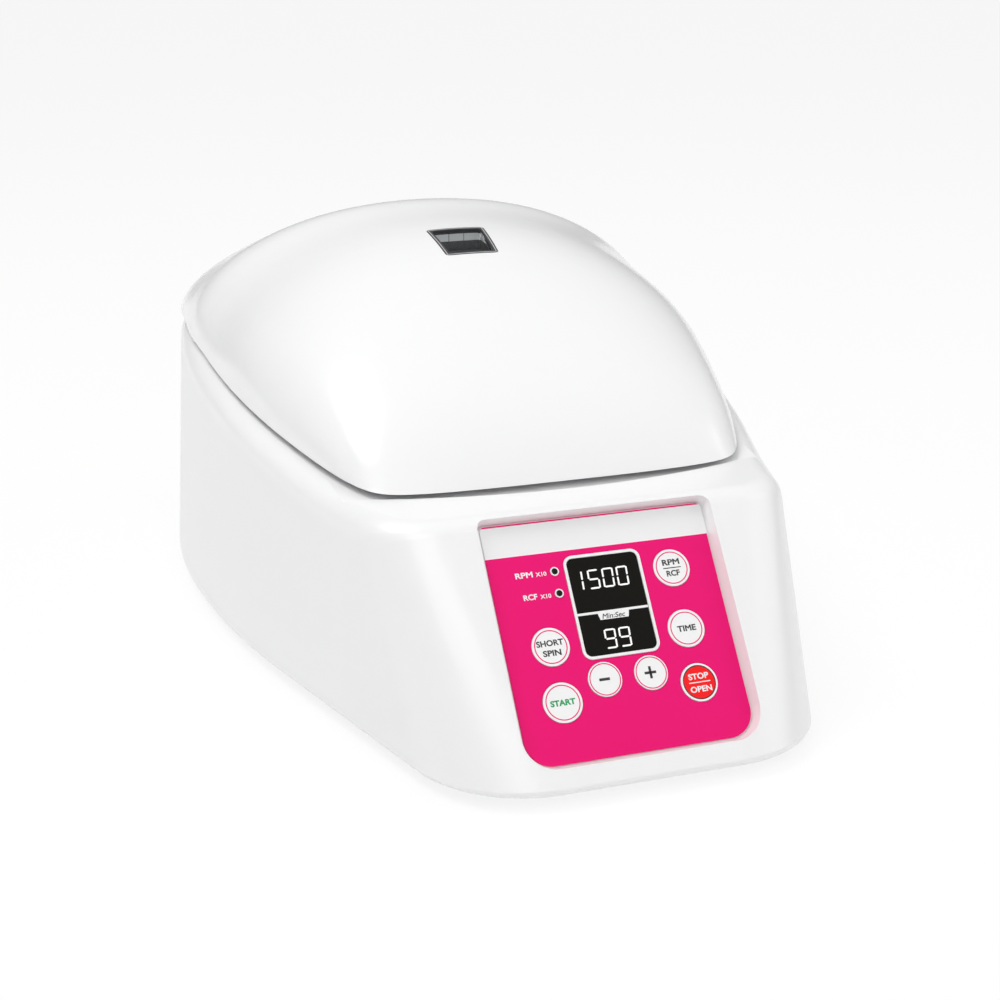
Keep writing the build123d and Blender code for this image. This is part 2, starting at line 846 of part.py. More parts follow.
with BuildPart() as motor_bearings:
    for low in (motor_bottom + 1, motor_top - 1 - bearing_height):
        with BuildSketch(Plane.XY.offset(low)):
            with Locations((0, axis_y)):
                Circle(bearing_radius - 0.02)
                Circle(shaft_radius + running_gap, mode=Mode.SUBTRACT)
        extrude(amount=bearing_height)
motor_bearings.part.label = "motor_bearings"
export_step(motor_bearings.part, "parts/motor_bearings.step")

with BuildPart() as motor_mount:
    with BuildSketch(Plane.XY.offset(motor_top)) as mount_outline:
        with Locations((0, axis_y)):
            Circle(motor_radius + 2)
            with PolarLocations(mount_pitch_radius, mount_count, start_angle=mount_turn):
                Circle(8)
            Circle(bearing_radius + 3, mode=Mode.SUBTRACT)
            with PolarLocations(mount_pitch_radius, mount_count, start_angle=mount_turn):
                Circle(mount_screw_radius + 0.1, mode=Mode.SUBTRACT)
    extrude(amount=mount_thickness)
motor_mount.part.label = "motor_mount"
export_step(motor_mount.part, "parts/motor_mount.step")

with BuildPart() as motor_dampers:
    with BuildSketch(Plane.XY.offset(motor_top - damper_height)):
        with Locations((0, axis_y)):
            with PolarLocations(mount_pitch_radius, mount_count, start_angle=mount_turn):
                Circle(post_radius + 1.5)
                Circle(mount_screw_radius + 0.1, mode=Mode.SUBTRACT)
    extrude(amount=damper_height)
    fillet(motor_dampers.edges().filter_by(lambda e: e.length > 6 * post_radius), 1)
motor_dampers.part.label = "motor_dampers"
export_step(motor_dampers.part, "parts/motor_dampers.step")

with BuildPart() as motor_posts:
    with BuildSketch(Plane.XY.offset(plate_top)):
        with Locations((0, axis_y)):
            with PolarLocations(mount_pitch_radius, mount_count, start_angle=mount_turn):
                Circle(post_radius)
    extrude(amount=motor_top - damper_height - plate_top)
    with BuildSketch(Plane.XY.offset(motor_top - damper_height)):
        with Locations((0, axis_y)):
            with PolarLocations(mount_pitch_radius, mount_count, start_angle=mount_turn):
                Circle(mount_screw_radius + 0.1)
    extrude(amount=-mount_screw_length, mode=Mode.SUBTRACT)
motor_posts.part.label = "motor_posts"
export_step(motor_posts.part, "parts/motor_posts.step")

with BuildPart() as mount_screws:
    with BuildSketch(Plane.XY.offset(motor_top + mount_thickness)):
        with Locations((0, axis_y)):
            with PolarLocations(mount_pitch_radius, mount_count, start_angle=mount_turn):
                Circle(2 * mount_screw_radius)
    extrude(amount=1.6)
    with BuildSketch(Plane.XY.offset(motor_top + mount_thickness)):
        with Locations((0, axis_y)):
            with PolarLocations(mount_pitch_radius, mount_count, start_angle=mount_turn):
                Circle(mount_screw_radius)
    extrude(amount=-mount_screw_length, mode=Mode.ADD)
mount_screws.part.label = "mount_screws"
export_step(mount_screws.part, "parts/mount_screws.step")

# Control panel: label, display, lamps and keys
with BuildPart() as control_label:
    with BuildSketch(panel.offset(-label_thickness)) as label_outline:
        Rectangle(panel_width, panel_height)
        fillet(label_outline.vertices().group_by(Axis.Y)[0], panel_low_corner - panel_margin)
        fillet(label_outline.vertices().group_by(Axis.Y)[-1], panel_high_corner - panel_margin)
        for place, radius in keys.values():
            with Locations(place):
                Circle(radius + key_gap, mode=Mode.SUBTRACT)
        with Locations(*led_places):
            Circle(led_radius + key_gap, mode=Mode.SUBTRACT)
        with Locations((0, display_up)):
            RectangleRounded(
                display_width + 2 * display_gap, display_length + 2 * display_gap,
                display_corner + display_gap, mode=Mode.SUBTRACT,
            )
    extrude(amount=label_thickness)
control_label.part.label = "control_label"
export_step(control_label.part, "parts/control_label.step")

with BuildPart() as display_bezel:
    with BuildSketch(panel.offset(-label_thickness)):
        with Locations((0, display_up)):
            RectangleRounded(display_width, display_length, display_corner)
            RectangleRounded(
                display_width - 2 * display_frame, display_length - 2 * display_frame,
                display_corner - display_frame, mode=Mode.SUBTRACT,
            )
    extrude(amount=label_thickness + 0.2)
display_bezel.part.label = "display_bezel"
export_step(display_bezel.part, "parts/display_bezel.step")

with BuildPart() as display_window:
    with BuildSketch(panel.offset(-label_thickness)):
        with Locations((0, display_up)):
            RectangleRounded(
                display_width - 2 * (display_frame + display_gap),
                display_length - 2 * (display_frame + display_gap),
                display_corner - display_frame - display_gap,
            )
    extrude(amount=label_thickness - display_sink)
display_window.part.label = "display_window"
export_step(display_window.part, "parts/display_window.step")

board_face = -label_thickness - panel_wall - board_drop
with BuildPart() as display_module:
    with BuildSketch(panel.offset(board_face)):
        with Locations((0, display_up)):
            Rectangle(module_width, module_length)
    extrude(amount=-board_face - label_thickness - 0.3)
display_module.part.label = "display_module"
export_step(display_module.part, "parts/display_module.step")

with BuildPart() as display_board:
    with BuildSketch(panel.offset(board_face)):
        with Locations((0, (board_low + board_high) / 2)):
            Rectangle(panel_width - 2, board_high - board_low)
        with Locations(*board_post_places):
            Circle(board_screw_radius + 0.15, mode=Mode.SUBTRACT)
    extrude(amount=-pcb_thickness)
display_board.part.label = "display_board"
export_step(display_board.part, "parts/display_board.step")

with BuildPart() as board_screws:
    with BuildSketch(panel.offset(board_face - pcb_thickness)):
        with Locations(*board_post_places):
            Circle(2 * board_screw_radius)
    extrude(amount=-1.4)
    with BuildSketch(panel.offset(board_face - pcb_thickness)):
        with Locations(*board_post_places):
            Circle(board_screw_radius - 0.05)
    extrude(amount=pcb_thickness + board_drop - 2)
board_screws.part.label = "board_screws"
export_step(board_screws.part, "parts/board_screws.step")

with BuildPart() as key_switches:
    with BuildSketch(panel.offset(board_face)):
        for place, radius in keys.values():
            with Locations(place):
                Rectangle(6, 6)
    extrude(amount=switch_body)
    with BuildSketch(panel.offset(board_face)):
        for place, radius in keys.values():
            with Locations(place):
                Circle(1.6)
    extrude(amount=switch_body + 0.7)
key_switches.part.label = "key_switches"
export_step(key_switches.part, "parts/key_switches.step")

with BuildPart() as status_lamps:
    with BuildSketch(panel.offset(board_face)):
        with Locations(*led_places):
            Circle(led_radius)
    extrude(amount=led_proud - board_face)
    fillet(status_lamps.faces().sort_by(Axis((0, 0, 0), face_out))[-2:].edges(), led_round)
status_lamps.part.label = "status_lamps"
export_step(status_lamps.part, "parts/status_lamps.step")

flange_top = -label_thickness - panel_wall - key_flange_gap
for name, (place, radius) in keys.items():
    with BuildPart() as key:
        with BuildSketch(panel.offset(flange_top)):
            with Locations(place):
                Circle(radius)
        extrude(amount=key_proud - flange_top)
        fillet(key.faces().sort_by(Axis((0, 0, 0), face_out))[-1].edges(), key_round)
        with BuildSketch(panel.offset(flange_top)):
            with Locations(place):
                Circle(radius + key_flange)
        extrude(amount=-key_flange)
        with BuildSketch(panel.offset(flange_top - key_flange)):
            with Locations(place):
                Circle(2)
        extrude(amount=-key_stem)
    key.part.label = name
    export_step(key.part, f"parts/{name}.step")

# Lid: domed shell, window and the inner cover that closes the chamber
with BuildPart() as lid_outside:
    loft(lid_sections(0))
with BuildPart() as lid_inside:
    loft(lid_sections(lid_wall))
below_lid = side_profile([(-far, lid_z(-far)), (far, lid_z(far)), (far, -2 * far), (-far, -2 * far)])

with BuildPart() as lid_shell:
    add(lid_outside.part)
    add(lid_inside.part, mode=Mode.SUBTRACT)
    with BuildSketch(liner_plane.offset(liner_thickness)):
        with Locations(*lid_boss_places):
            Circle(boss_radius)
    extrude(amount=far)
    add(lid_outside.part, mode=Mode.INTERSECT)
    extrude(below_lid, amount=far, both=True, mode=Mode.SUBTRACT)
    with BuildSketch(liner_plane):
        with Locations(*lid_boss_places):
            Circle(screw_radius + 0.1)
    extrude(amount=lid_screw_length, mode=Mode.SUBTRACT)
    extrude(window_outline(0), amount=far, mode=Mode.SUBTRACT)
lid_shell.part.label = "lid_shell"
export_step(lid_shell.part, "parts/lid_shell.step")

with BuildPart() as pane_under:
    loft(lid_sections(pane_depth + pane_thickness))
with BuildPart() as pane_over:
    loft(lid_sections(pane_depth))

with BuildPart() as window_frame:
    extrude(window_outline(fit_gap), amount=far)
    add(lid_outside.part, mode=Mode.INTERSECT)
    add(pane_under.part, mode=Mode.SUBTRACT)
    extrude(window_outline(window_border), amount=far, mode=Mode.SUBTRACT)
window_frame.part.label = "window_frame"
export_step(window_frame.part, "parts/window_frame.step")

with BuildPart() as window_well:
    extrude(window_outline(fit_gap), amount=far)
    add(pane_under.part, mode=Mode.INTERSECT)
    extrude(window_outline(window_border), amount=far, mode=Mode.SUBTRACT)
window_well.part.label = "window_well"
export_step(window_well.part, "parts/window_well.step")

with BuildPart() as well_pane:
    extrude(window_outline(window_border + display_gap), amount=window_lift)
    with BuildSketch(Plane.XY.offset(window_low + well_pane_lift)):
        Rectangle(far, far)
    extrude(amount=well_pane_thickness, mode=Mode.INTERSECT)
well_pane.part.label = "well_pane"
export_step(well_pane.part, "parts/well_pane.step")

with BuildPart() as lid_window:
    extrude(window_outline(window_border + display_gap), amount=far)
    add(pane_over.part, mode=Mode.INTERSECT)
    add(pane_under.part, mode=Mode.SUBTRACT)
lid_window.part.label = "lid_window"
export_step(lid_window.part, "parts/lid_window.step")

with BuildPart() as liner_sheet:
    loft(lid_sections(lid_wall + fit_gap))
with BuildPart() as lid_liner:
    add(liner_sheet.part)
    with BuildSketch(liner_plane):
        Rectangle(far, far)
    extrude(amount=liner_thickness, mode=Mode.INTERSECT)
    with BuildSketch(Plane.XY):
        with Locations((0, axis_y)):
            Circle(liner_ring_radius - liner_thickness)
    extrude(amount=far, mode=Mode.SUBTRACT)
    with BuildSketch(Plane.XZ.offset(-axis_y)):
        with BuildLine():
            Polyline(
                (liner_ring_radius, liner_ring_low),
                (liner_ring_radius, liner_ring_top),
                (liner_crown_radius, liner_crown_top),
                (inner_window_radius, liner_crown_top),
                (inner_window_radius, liner_crown_top - liner_thickness),
                (liner_crown_radius - 1, liner_crown_top - liner_thickness),
                (liner_lip_radius, seal_top + 6),
                (liner_lip_radius, seal_top + seal_squeeze_gap),
                (liner_ring_radius - liner_thickness, seal_top + seal_squeeze_gap),
                (liner_ring_radius - liner_thickness, liner_ring_low),
                close=True,
            )
        make_face()
    revolve(axis=rotor_axis)
    add(liner_collar(), mode=Mode.ADD)
    with BuildSketch(liner_plane):
        with Locations(*lid_boss_places):
            Circle(screw_radius + 0.1)
    extrude(amount=liner_thickness, mode=Mode.SUBTRACT)
lid_liner.part.label = "lid_liner"
export_step(lid_liner.part, "parts/lid_liner.step")

with BuildPart() as inner_window:
    with BuildSketch(Plane.XY.offset(liner_crown_top)):
        with Locations((0, axis_y)):
            Circle(inner_window_radius + inner_window_lap)
    extrude(amount=inner_window_thickness)
inner_window.part.label = "inner_window"
export_step(inner_window.part, "parts/inner_window.step")

with BuildPart() as lid_screws:
    with BuildSketch(liner_plane):
        with Locations(*lid_boss_places):
            Circle(screw_radius)
    extrude(amount=lid_screw_length)
    with BuildSketch(liner_plane):
        with Locations(*lid_boss_places):
            Circle(2 * screw_radius)
    extrude(amount=-1.3)
lid_screws.part.label = "lid_screws"
export_step(lid_screws.part, "parts/lid_screws.step")

# Hinge: arms under the lid turn on a pin in the well
with BuildPart() as hinge_arms:
    for side in (-1, 1):
        with BuildSketch(Plane.YZ.offset(side * hinge_arm_x - hinge_arm_width / 2)):
            with BuildLine():
                Polyline(
                    (arm_front, liner_z(arm_front)),
                    (arm_bend, liner_z(arm_bend)),
                    (arm_bend, lid_z(arm_bend) - 0.3),
                    (hinge_y, hinge_z + hinge_barrel),
                    (hinge_y - 3.5, hinge_z - 3.5),
                    (arm_bend - 3, liner_z(arm_bend - 3) - 2.4),
                    (arm_front, liner_z(arm_front) - arm_thickness),
                    close=True,
                )
            make_face()
            with Locations((hinge_y, hinge_z)):
                Circle(hinge_barrel)
                Circle(hinge_pin_radius + 0.05, mode=Mode.SUBTRACT)
        extrude(amount=hinge_arm_width)
hinge_arms.part.label = "hinge_arms"
export_step(hinge_arms.part, "parts/hinge_arms.step")

with BuildPart() as hinge_pin:
    with BuildSketch(Plane.YZ.offset(-hinge_pin_half)):
        with Locations((hinge_y, hinge_z)):
            Circle(hinge_pin_radius)
    extrude(amount=2 * hinge_pin_half)
    chamfer(hinge_pin.edges().filter_by(GeomType.CIRCLE), 0.5)
hinge_pin.part.label = "hinge_pin"
export_step(hinge_pin.part, "parts/hinge_pin.step")

with BuildPart() as hinge_brackets:
    for side in (-1, 1):
        with BuildSketch(Plane.XY.offset(well_floor)):
            with Locations((side * hinge_arm_x, hinge_y - 2)):
                Rectangle(hinge_arm_width + 2 * bracket_gap + 2 * bracket_thickness, 9)
        extrude(amount=bracket_floor)
        for edge in (-1, 1):
            ear_x = side * hinge_arm_x + edge * (hinge_arm_width + bracket_thickness + 2 * bracket_gap) / 2
            with BuildSketch(Plane.YZ.offset(ear_x - bracket_thickness / 2)):
                with BuildLine():
                    Polyline(
                        (hinge_y - 6.5, well_floor),
                        (hinge_y + 2.5, well_floor),
                        (hinge_y + 4, hinge_z),
                        (hinge_y - 4, hinge_z),
                        close=True,
                    )
                make_face()
                with Locations((hinge_y, hinge_z)):
                    Circle(4)
                    Circle(hinge_pin_radius + 0.02, mode=Mode.SUBTRACT)
            extrude(amount=bracket_thickness)
hinge_brackets.part.label = "hinge_brackets"
export_step(hinge_brackets.part, "parts/hinge_brackets.step")

with BuildPart() as lid_springs:
    for side in (-1, 1):
        start = side * spring_x - spring_coils * spring_pitch / 2
        with BuildLine() as coil:
            Helix(
                spring_pitch, spring_coils * spring_pitch, spring_radius,
                center=(start, hinge_y, hinge_z), direction=(1, 0, 0),
            )
        with BuildSketch(Plane(origin=coil.line @ 0, z_dir=coil.line % 0)):
            Circle(spring_wire)
        sweep(path=coil.line)
        with BuildSketch(Plane.XY.offset(well_floor)):
            with Locations((start, hinge_y - spring_radius)):
                Circle(spring_wire)
        extrude(amount=hinge_z - well_floor)
lid_springs.part.label = "lid_springs"
export_step(lid_springs.part, "parts/lid_springs.step")

# Latch: striker on the lid, sliding hook and solenoid under the deck
with BuildPart() as lid_striker:
    with BuildSketch(Plane.XZ.offset(-(striker_y - striker_thickness / 2))) as striker_face:
        with BuildLine():
            Polyline(
                (-striker_width / 2, striker_low),
                (striker_width / 2, striker_low),
                (striker_width / 2, liner_z(striker_y) - 1.5),
                (-striker_width / 2, liner_z(striker_y) - 1.5),
                close=True,
            )
        make_face()
        fillet(striker_face.vertices().group_by(Axis.Y)[0], 2.5)
        with Locations((0, (striker_low + hook_top) / 2 + 1)):
            Rectangle(hook_nose + 2.4, hook_top - striker_low - 2, mode=Mode.SUBTRACT)
    extrude(amount=-striker_thickness)
    with BuildSketch(liner_plane.offset(-1.5)):
        with Locations((0, striker_y / math.cos(math.radians(rim_slope)))):
            Rectangle(striker_width, 12)
    extrude(amount=1.5)
lid_striker.part.label = "lid_striker"
export_step(lid_striker.part, "parts/lid_striker.step")

with BuildPart() as latch_bracket:
    with BuildSketch(Plane.XY.offset(latch_shelf - 1.6)):
        with Locations((0, (bracket_front + bracket_back) / 2)):
            Rectangle(2 * latch_half, bracket_back - bracket_front)
    extrude(amount=1.6)
    with BuildSketch(Plane.XY.offset(latch_shelf)):
        for side in (-1, 1):
            with Locations((side * (latch_half - 0.8), (bracket_front + bracket_back) / 2)):
                Rectangle(1.6, bracket_back - bracket_front)
    extrude(amount=shelf_height - roof_wall - latch_shelf)
latch_bracket.part.label = "latch_bracket"
export_step(latch_bracket.part, "parts/latch_bracket.step")

with BuildPart() as latch_hook:
    with BuildSketch(Plane.XY.offset(latch_shelf + 0.1)):
        with Locations((0, (hook_front + hook_step) / 2)):
            Rectangle(2 * hook_half, hook_step - hook_front)
    extrude(amount=hook_top - latch_shelf - 0.1)
    with BuildSketch(Plane.YZ.offset(-hook_nose / 2)):
        with BuildLine():
            Polyline(
                (hook_step - 1, striker_low + 2.8),
                (hook_tip, striker_low + 2.8),
                (hook_tip, striker_low + 4.5),
                (hook_tip - 3, hook_top - 0.6),
                (hook_step - 1, hook_top - 0.6),
                close=True,
            )
        make_face()
    extrude(amount=hook_nose)
latch_hook.part.label = "latch_hook"
export_step(latch_hook.part, "parts/latch_hook.step")

with BuildPart() as latch_solenoid:
    with BuildSketch(Plane.XY.offset(latch_shelf - 1.6)):
        with Locations((0, (bracket_front + bracket_back) / 2)):
            RectangleRounded(20, bracket_back - bracket_front - 2, 2)
    extrude(amount=-solenoid_height)
latch_solenoid.part.label = "latch_solenoid"
export_step(latch_solenoid.part, "parts/latch_solenoid.step")

# Main board with its posts and parts
with BuildPart() as main_board:
    with BuildSketch(Plane.XY.offset(main_board_z)):
        with Locations((0, main_middle)):
            Rectangle(2 * main_half, main_back - main_front)
            with GridLocations(2 * main_half - 8, main_back - main_front - 8, 2, 2):
                Circle(screw_radius, mode=Mode.SUBTRACT)
    extrude(amount=pcb_thickness)
main_board.part.label = "main_board"
export_step(main_board.part, "parts/main_board.step")

with BuildPart() as board_spacers:
    with BuildSketch(Plane.XY.offset(plate_top)):
        with Locations((0, main_middle)):
            with GridLocations(2 * main_half - 8, main_back - main_front - 8, 2, 2):
                Circle(2.5 * screw_radius)
    extrude(amount=main_board_z - plate_top)
board_spacers.part.label = "board_spacers"
export_step(board_spacers.part, "parts/board_spacers.step")

parts_z = main_board_z + pcb_thickness
with BuildPart() as power_capacitors:
    with BuildSketch(Plane.XY.offset(parts_z)):
        with Locations((capacitor_x, main_middle + capacitor_run)):
            with GridLocations(0, capacitor_pitch, 1, 2):
                Circle(capacitor_radius)
    extrude(amount=capacitor_height)
    fillet(power_capacitors.faces().group_by(Axis.Z)[-1].edges(), 1)
power_capacitors.part.label = "power_capacitors"
export_step(power_capacitors.part, "parts/power_capacitors.step")

with BuildPart() as transformer:
    with BuildSketch(Plane.XY.offset(parts_z)):
        with Locations((transformer_x, main_middle + transformer_run)):
            Rectangle(transformer_width, transformer_length)
    extrude(amount=core_height)
    with BuildSketch(Plane.XY.offset(parts_z + core_height)):
        with Locations((transformer_x, main_middle + transformer_run)):
            Rectangle(winding_width, winding_length)
    extrude(amount=winding_height)
    fillet(transformer.edges().filter_by(Axis.Z), 1.5)
transformer.part.label = "transformer"
export_step(transformer.part, "parts/transformer.step")

with BuildPart() as heat_sink:
    with BuildSketch(Plane.XY.offset(parts_z)):
        with Locations((0, main_front + sink_run)):
            Rectangle(sink_width, sink_plate)
            with GridLocations(fin_pitch, 0, fin_count, 1):
                with Locations((0, (sink_plate + fin_length) / 2 - sink_plate / 6)):
                    Rectangle(fin_thickness, fin_length)
    extrude(amount=sink_height)
heat_sink.part.label = "heat_sink"
export_step(heat_sink.part, "parts/heat_sink.step")

# Rear: mains inlet and rocker switch
rear = Plane(origin=(0, rear_pad_y, inlet_z), x_dir=(-1, 0, 0), z_dir=(0, 1, 0))
with BuildPart() as power_inlet:
    with BuildSketch(rear):
        with Locations((-inlet_x, 0)):
            RectangleRounded(inlet_width + 3, inlet_height + 4, 2)
    extrude(amount=flange_depth)
    with BuildSketch(rear):
        with Locations((-inlet_x, 0)):
            Rectangle(inlet_width, inlet_height)
    extrude(amount=-inlet_depth)
    with BuildSketch(rear.offset(flange_depth)) as socket:
        with Locations((-inlet_x, 0)):
            Rectangle(socket_width, socket_height)
        chamfer(socket.vertices().group_by(Axis.Y)[-1], 4)
    extrude(amount=-flange_depth - socket_depth, mode=Mode.SUBTRACT)
power_inlet.part.label = "power_inlet"
export_step(power_inlet.part, "parts/power_inlet.step")

with BuildPart() as inlet_pins:
    with BuildSketch(rear.offset(-socket_depth)):
        with Locations((-inlet_x - 7, -2), (-inlet_x, 2), (-inlet_x + 7, -2)):
            Rectangle(2, 4)
    extrude(amount=socket_depth - 3)
inlet_pins.part.label = "inlet_pins"
export_step(inlet_pins.part, "parts/inlet_pins.step")

with BuildPart() as switch_frame:
    with BuildSketch(rear):
        with Locations((-switch_x, 0)):
            RectangleRounded(switch_width + 2.4, switch_height + 2.4, 1.2)
    extrude(amount=flange_depth)
    with BuildSketch(rear):
        with Locations((-switch_x, 0)):
            Rectangle(switch_width, switch_height)
    extrude(amount=-switch_depth)
    with BuildSketch(rear.offset(flange_depth)):
        with Locations((-switch_x, 0)):
            Rectangle(rocker_width + 0.5, rocker_length + 1.4)
    extrude(amount=-flange_depth - rocker_room, mode=Mode.SUBTRACT)
switch_frame.part.label = "switch_frame"
export_step(switch_frame.part, "parts/switch_frame.step")

pivot_y = rear_pad_y - 1.5
with BuildPart() as rocker:
    with BuildSketch(Plane.YZ.offset(switch_x - rocker_width / 2)):
        with BuildLine():
            Polyline(
                (pivot_y - 4, inlet_z - 4),
                (pivot_y + 3, inlet_z - rocker_length / 2),
                (pivot_y + 4, inlet_z - rocker_length / 2),
                (pivot_y + 2.6, inlet_z),
                (pivot_y + 4, inlet_z + rocker_length / 2),
                (pivot_y + 3, inlet_z + rocker_length / 2),
                (pivot_y - 4, inlet_z + 4),
                close=True,
            )
        make_face()
    extrude(amount=rocker_width)
tilted = rocker.part.rotate(Axis((0, pivot_y, inlet_z), (1, 0, 0)), rocker_tilt)
tilted.label = "power_rocker"
export_step(tilted, "parts/power_rocker.step")
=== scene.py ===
"""Looks of a bench microcentrifuge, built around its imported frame."""

import logging
import math
from dataclasses import dataclass, field
from enum import Enum

import bmesh
import bpy
from mathutils import Matrix, Vector


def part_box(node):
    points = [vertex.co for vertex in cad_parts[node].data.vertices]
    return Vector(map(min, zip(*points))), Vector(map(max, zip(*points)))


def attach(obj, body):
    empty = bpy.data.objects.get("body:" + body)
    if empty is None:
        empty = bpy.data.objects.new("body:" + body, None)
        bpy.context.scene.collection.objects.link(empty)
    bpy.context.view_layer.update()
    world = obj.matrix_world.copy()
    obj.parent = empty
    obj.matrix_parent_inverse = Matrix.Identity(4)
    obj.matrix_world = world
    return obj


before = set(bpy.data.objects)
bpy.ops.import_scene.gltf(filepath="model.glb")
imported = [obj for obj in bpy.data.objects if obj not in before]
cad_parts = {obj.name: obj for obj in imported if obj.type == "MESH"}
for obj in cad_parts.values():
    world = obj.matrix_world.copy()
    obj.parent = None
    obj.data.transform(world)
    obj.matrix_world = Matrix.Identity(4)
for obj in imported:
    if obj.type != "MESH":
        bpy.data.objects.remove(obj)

LOG = logging.getLogger("microcentrifuge")
MM = 0.001
Colour = tuple[float, float, float]
Point = tuple[float, float]

WHITE_INK: Colour = (0.90, 0.90, 0.90)
DARK_INK: Colour = (0.030, 0.030, 0.032)
GREEN_INK: Colour = (0.0, 0.36, 0.10)
MAGENTA_INK: Colour = (0.84, 0.008, 0.175)
RED_INK: Colour = (0.95, 0.010, 0.014)
BOLD = 0.042
SEMIBOLD = 0.030


# Panel plane


@dataclass(frozen=True)
class PanelPlane:
    """The sloping keypad's plane, in millimetres and degrees."""

    slope: float = 52.17
    front_y: float = -147.7
    base_height: float = 4.0
    up: float = 48.1
    depth: float = 3.94

    def matrix(self) -> Matrix:
        """Places panel coordinates in the machine's frame.

        Returns:
            A matrix from panel metres (x right, y up the slope, z outwards) to the frame.
        """
        turn = math.radians(self.slope)
        along = Vector((0.0, math.cos(turn), math.sin(turn)))
        out = Vector((0.0, -math.sin(turn), math.cos(turn)))
        origin = Vector((0.0, self.front_y, self.base_height)) + along * self.up - out * self.depth
        columns = Matrix((Vector((1.0, 0.0, 0.0)), along, out)).transposed().to_4x4()
        return Matrix.Translation(origin * MM) @ columns

    def euler(self) -> tuple[float, float, float]:
        """Gives the rotation that turns the frame's axes into the panel's."""
        return (math.radians(self.slope), 0.0, 0.0)


PANEL = PanelPlane()
PANEL_PLACE = PANEL.matrix()


# Node trees


class Tree:
    """A material's node tree with short calls for the nodes used here."""

    def __init__(self, name: str) -> None:
        """Makes an empty material with an output and a Principled shader.

        Args:
            name: The material's name.
        """
        self.material = bpy.data.materials.new(name)
        self.material.use_nodes = True
        self.nodes = self.material.node_tree.nodes
        self.links = self.material.node_tree.links
        self.nodes.clear()
        self.output = self.nodes.new("ShaderNodeOutputMaterial")
        self.shader = self.nodes.new("ShaderNodeBsdfPrincipled")
        self.link(self.shader.outputs["BSDF"], self.output.inputs["Surface"])
        self.coordinates = self.nodes.new("ShaderNodeTexCoord").outputs["Object"]

    def link(self, source: bpy.types.NodeSocket, target: bpy.types.NodeSocket) -> None:
        """Joins two sockets."""
        self.links.new(source, target)

    def add(self, kind: str, **settings: object) -> bpy.types.Node:
        """Adds a node and sets its properties.

        Args:
            kind: The node's type.
            settings: Property names and their values.

        Returns:
            The new node.
        """
        node = self.nodes.new(kind)
        for key, value in settings.items():
            setattr(node, key, value)
        return node

    def mapped(self, location: tuple[float, float, float], rotation: tuple[float, float, float],
               scale: tuple[float, float, float] = (1.0, 1.0, 1.0)) -> bpy.types.NodeSocket:
        """Moves object coordinates into a piece's own frame.

        Args:
            location: Origin of the piece's frame, in metres.
            rotation: Euler angles of that frame, in radians.
            scale: Size of one unit along each axis, in metres.

        Returns:
            The mapped vector.
        """
        node = self.add("ShaderNodeMapping", vector_type="TEXTURE")
        self.link(self.coordinates, node.inputs["Vector"])
        node.inputs["Location"].default_value = location
        node.inputs["Rotation"].default_value = rotation
        node.inputs["Scale"].default_value = scale
        return node.outputs["Vector"]

    def noise(self, vector: bpy.types.NodeSocket, scale: float, detail: float = 3.0,
              roughness: float = 0.55) -> bpy.types.NodeSocket:
        """Adds a noise pattern and returns its factor."""
        node = self.add("ShaderNodeTexNoise")
        self.link(vector, node.inputs["Vector"])
        node.inputs["Scale"].default_value = scale
        node.inputs["Detail"].default_value = detail
        node.inputs["Roughness"].default_value = roughness
        return node.outputs["Fac"]

    def ramp(self, value: bpy.types.NodeSocket, low: float, high: float,
             out_low: float, out_high: float) -> bpy.types.NodeSocket:
        """Maps a value from one range to another, clamped."""
        node = self.add("ShaderNodeMapRange", clamp=True)
        self.link(value, node.inputs["Value"])
        for key, number in (("From Min", low), ("From Max", high), ("To Min", out_low), ("To Max", out_high)):
            node.inputs[key].default_value = number
        return node.outputs["Result"]

    def maths(self, operation: str, first: bpy.types.NodeSocket,
              second: float | bpy.types.NodeSocket = 0.0) -> bpy.types.NodeSocket:
        """Applies one arithmetic step."""
        node = self.add("ShaderNodeMath", operation=operation)
        self.link(first, node.inputs[0])
        if isinstance(second, (int, float)):
            node.inputs[1].default_value = second
        else:
            self.link(second, node.inputs[1])
        return node.outputs[0]

    def split(self, vector: bpy.types.NodeSocket) -> list[bpy.types.NodeSocket]:
        """Separates a vector into its three coordinates."""
        node = self.add("ShaderNodeSeparateXYZ")
        self.link(vector, node.inputs[0])
        return [node.outputs[0], node.outputs[1], node.outputs[2]]

    def join(self, parts: list[bpy.types.NodeSocket]) -> bpy.types.NodeSocket:
        """Combines up to three coordinates into a vector."""
        node = self.add("ShaderNodeCombineXYZ")
        for place, part in enumerate(parts):
            self.link(part, node.inputs[place])
        return node.outputs[0]

    def length(self, vector: bpy.types.NodeSocket) -> bpy.types.NodeSocket:
        """Measures a vector."""
        node = self.add("ShaderNodeVectorMath", operation="LENGTH")
        self.link(vector, node.inputs[0])
        return node.outputs["Value"]

    def blend(self, factor: bpy.types.NodeSocket, low: Colour | bpy.types.NodeSocket,
              high: Colour | bpy.types.NodeSocket) -> bpy.types.NodeSocket:
        """Mixes two colours by a factor.

        Args:
            factor: 0 for the first colour, 1 for the second.
            low: First colour, as numbers or a socket.
            high: Second colour, as numbers or a socket.

        Returns:
            The mixed colour.
        """
        node = self.add("ShaderNodeMix", data_type="RGBA")
        self.link(factor, node.inputs["Factor"])
        for key, colour in (("A", low), ("B", high)):
            socket = [s for s in node.inputs if s.name == key and s.type == "RGBA"][0]
            if isinstance(colour, tuple):
                socket.default_value = (*colour, 1.0)
            else:
                self.link(colour, socket)
        return [s for s in node.outputs if s.type == "RGBA"][0]

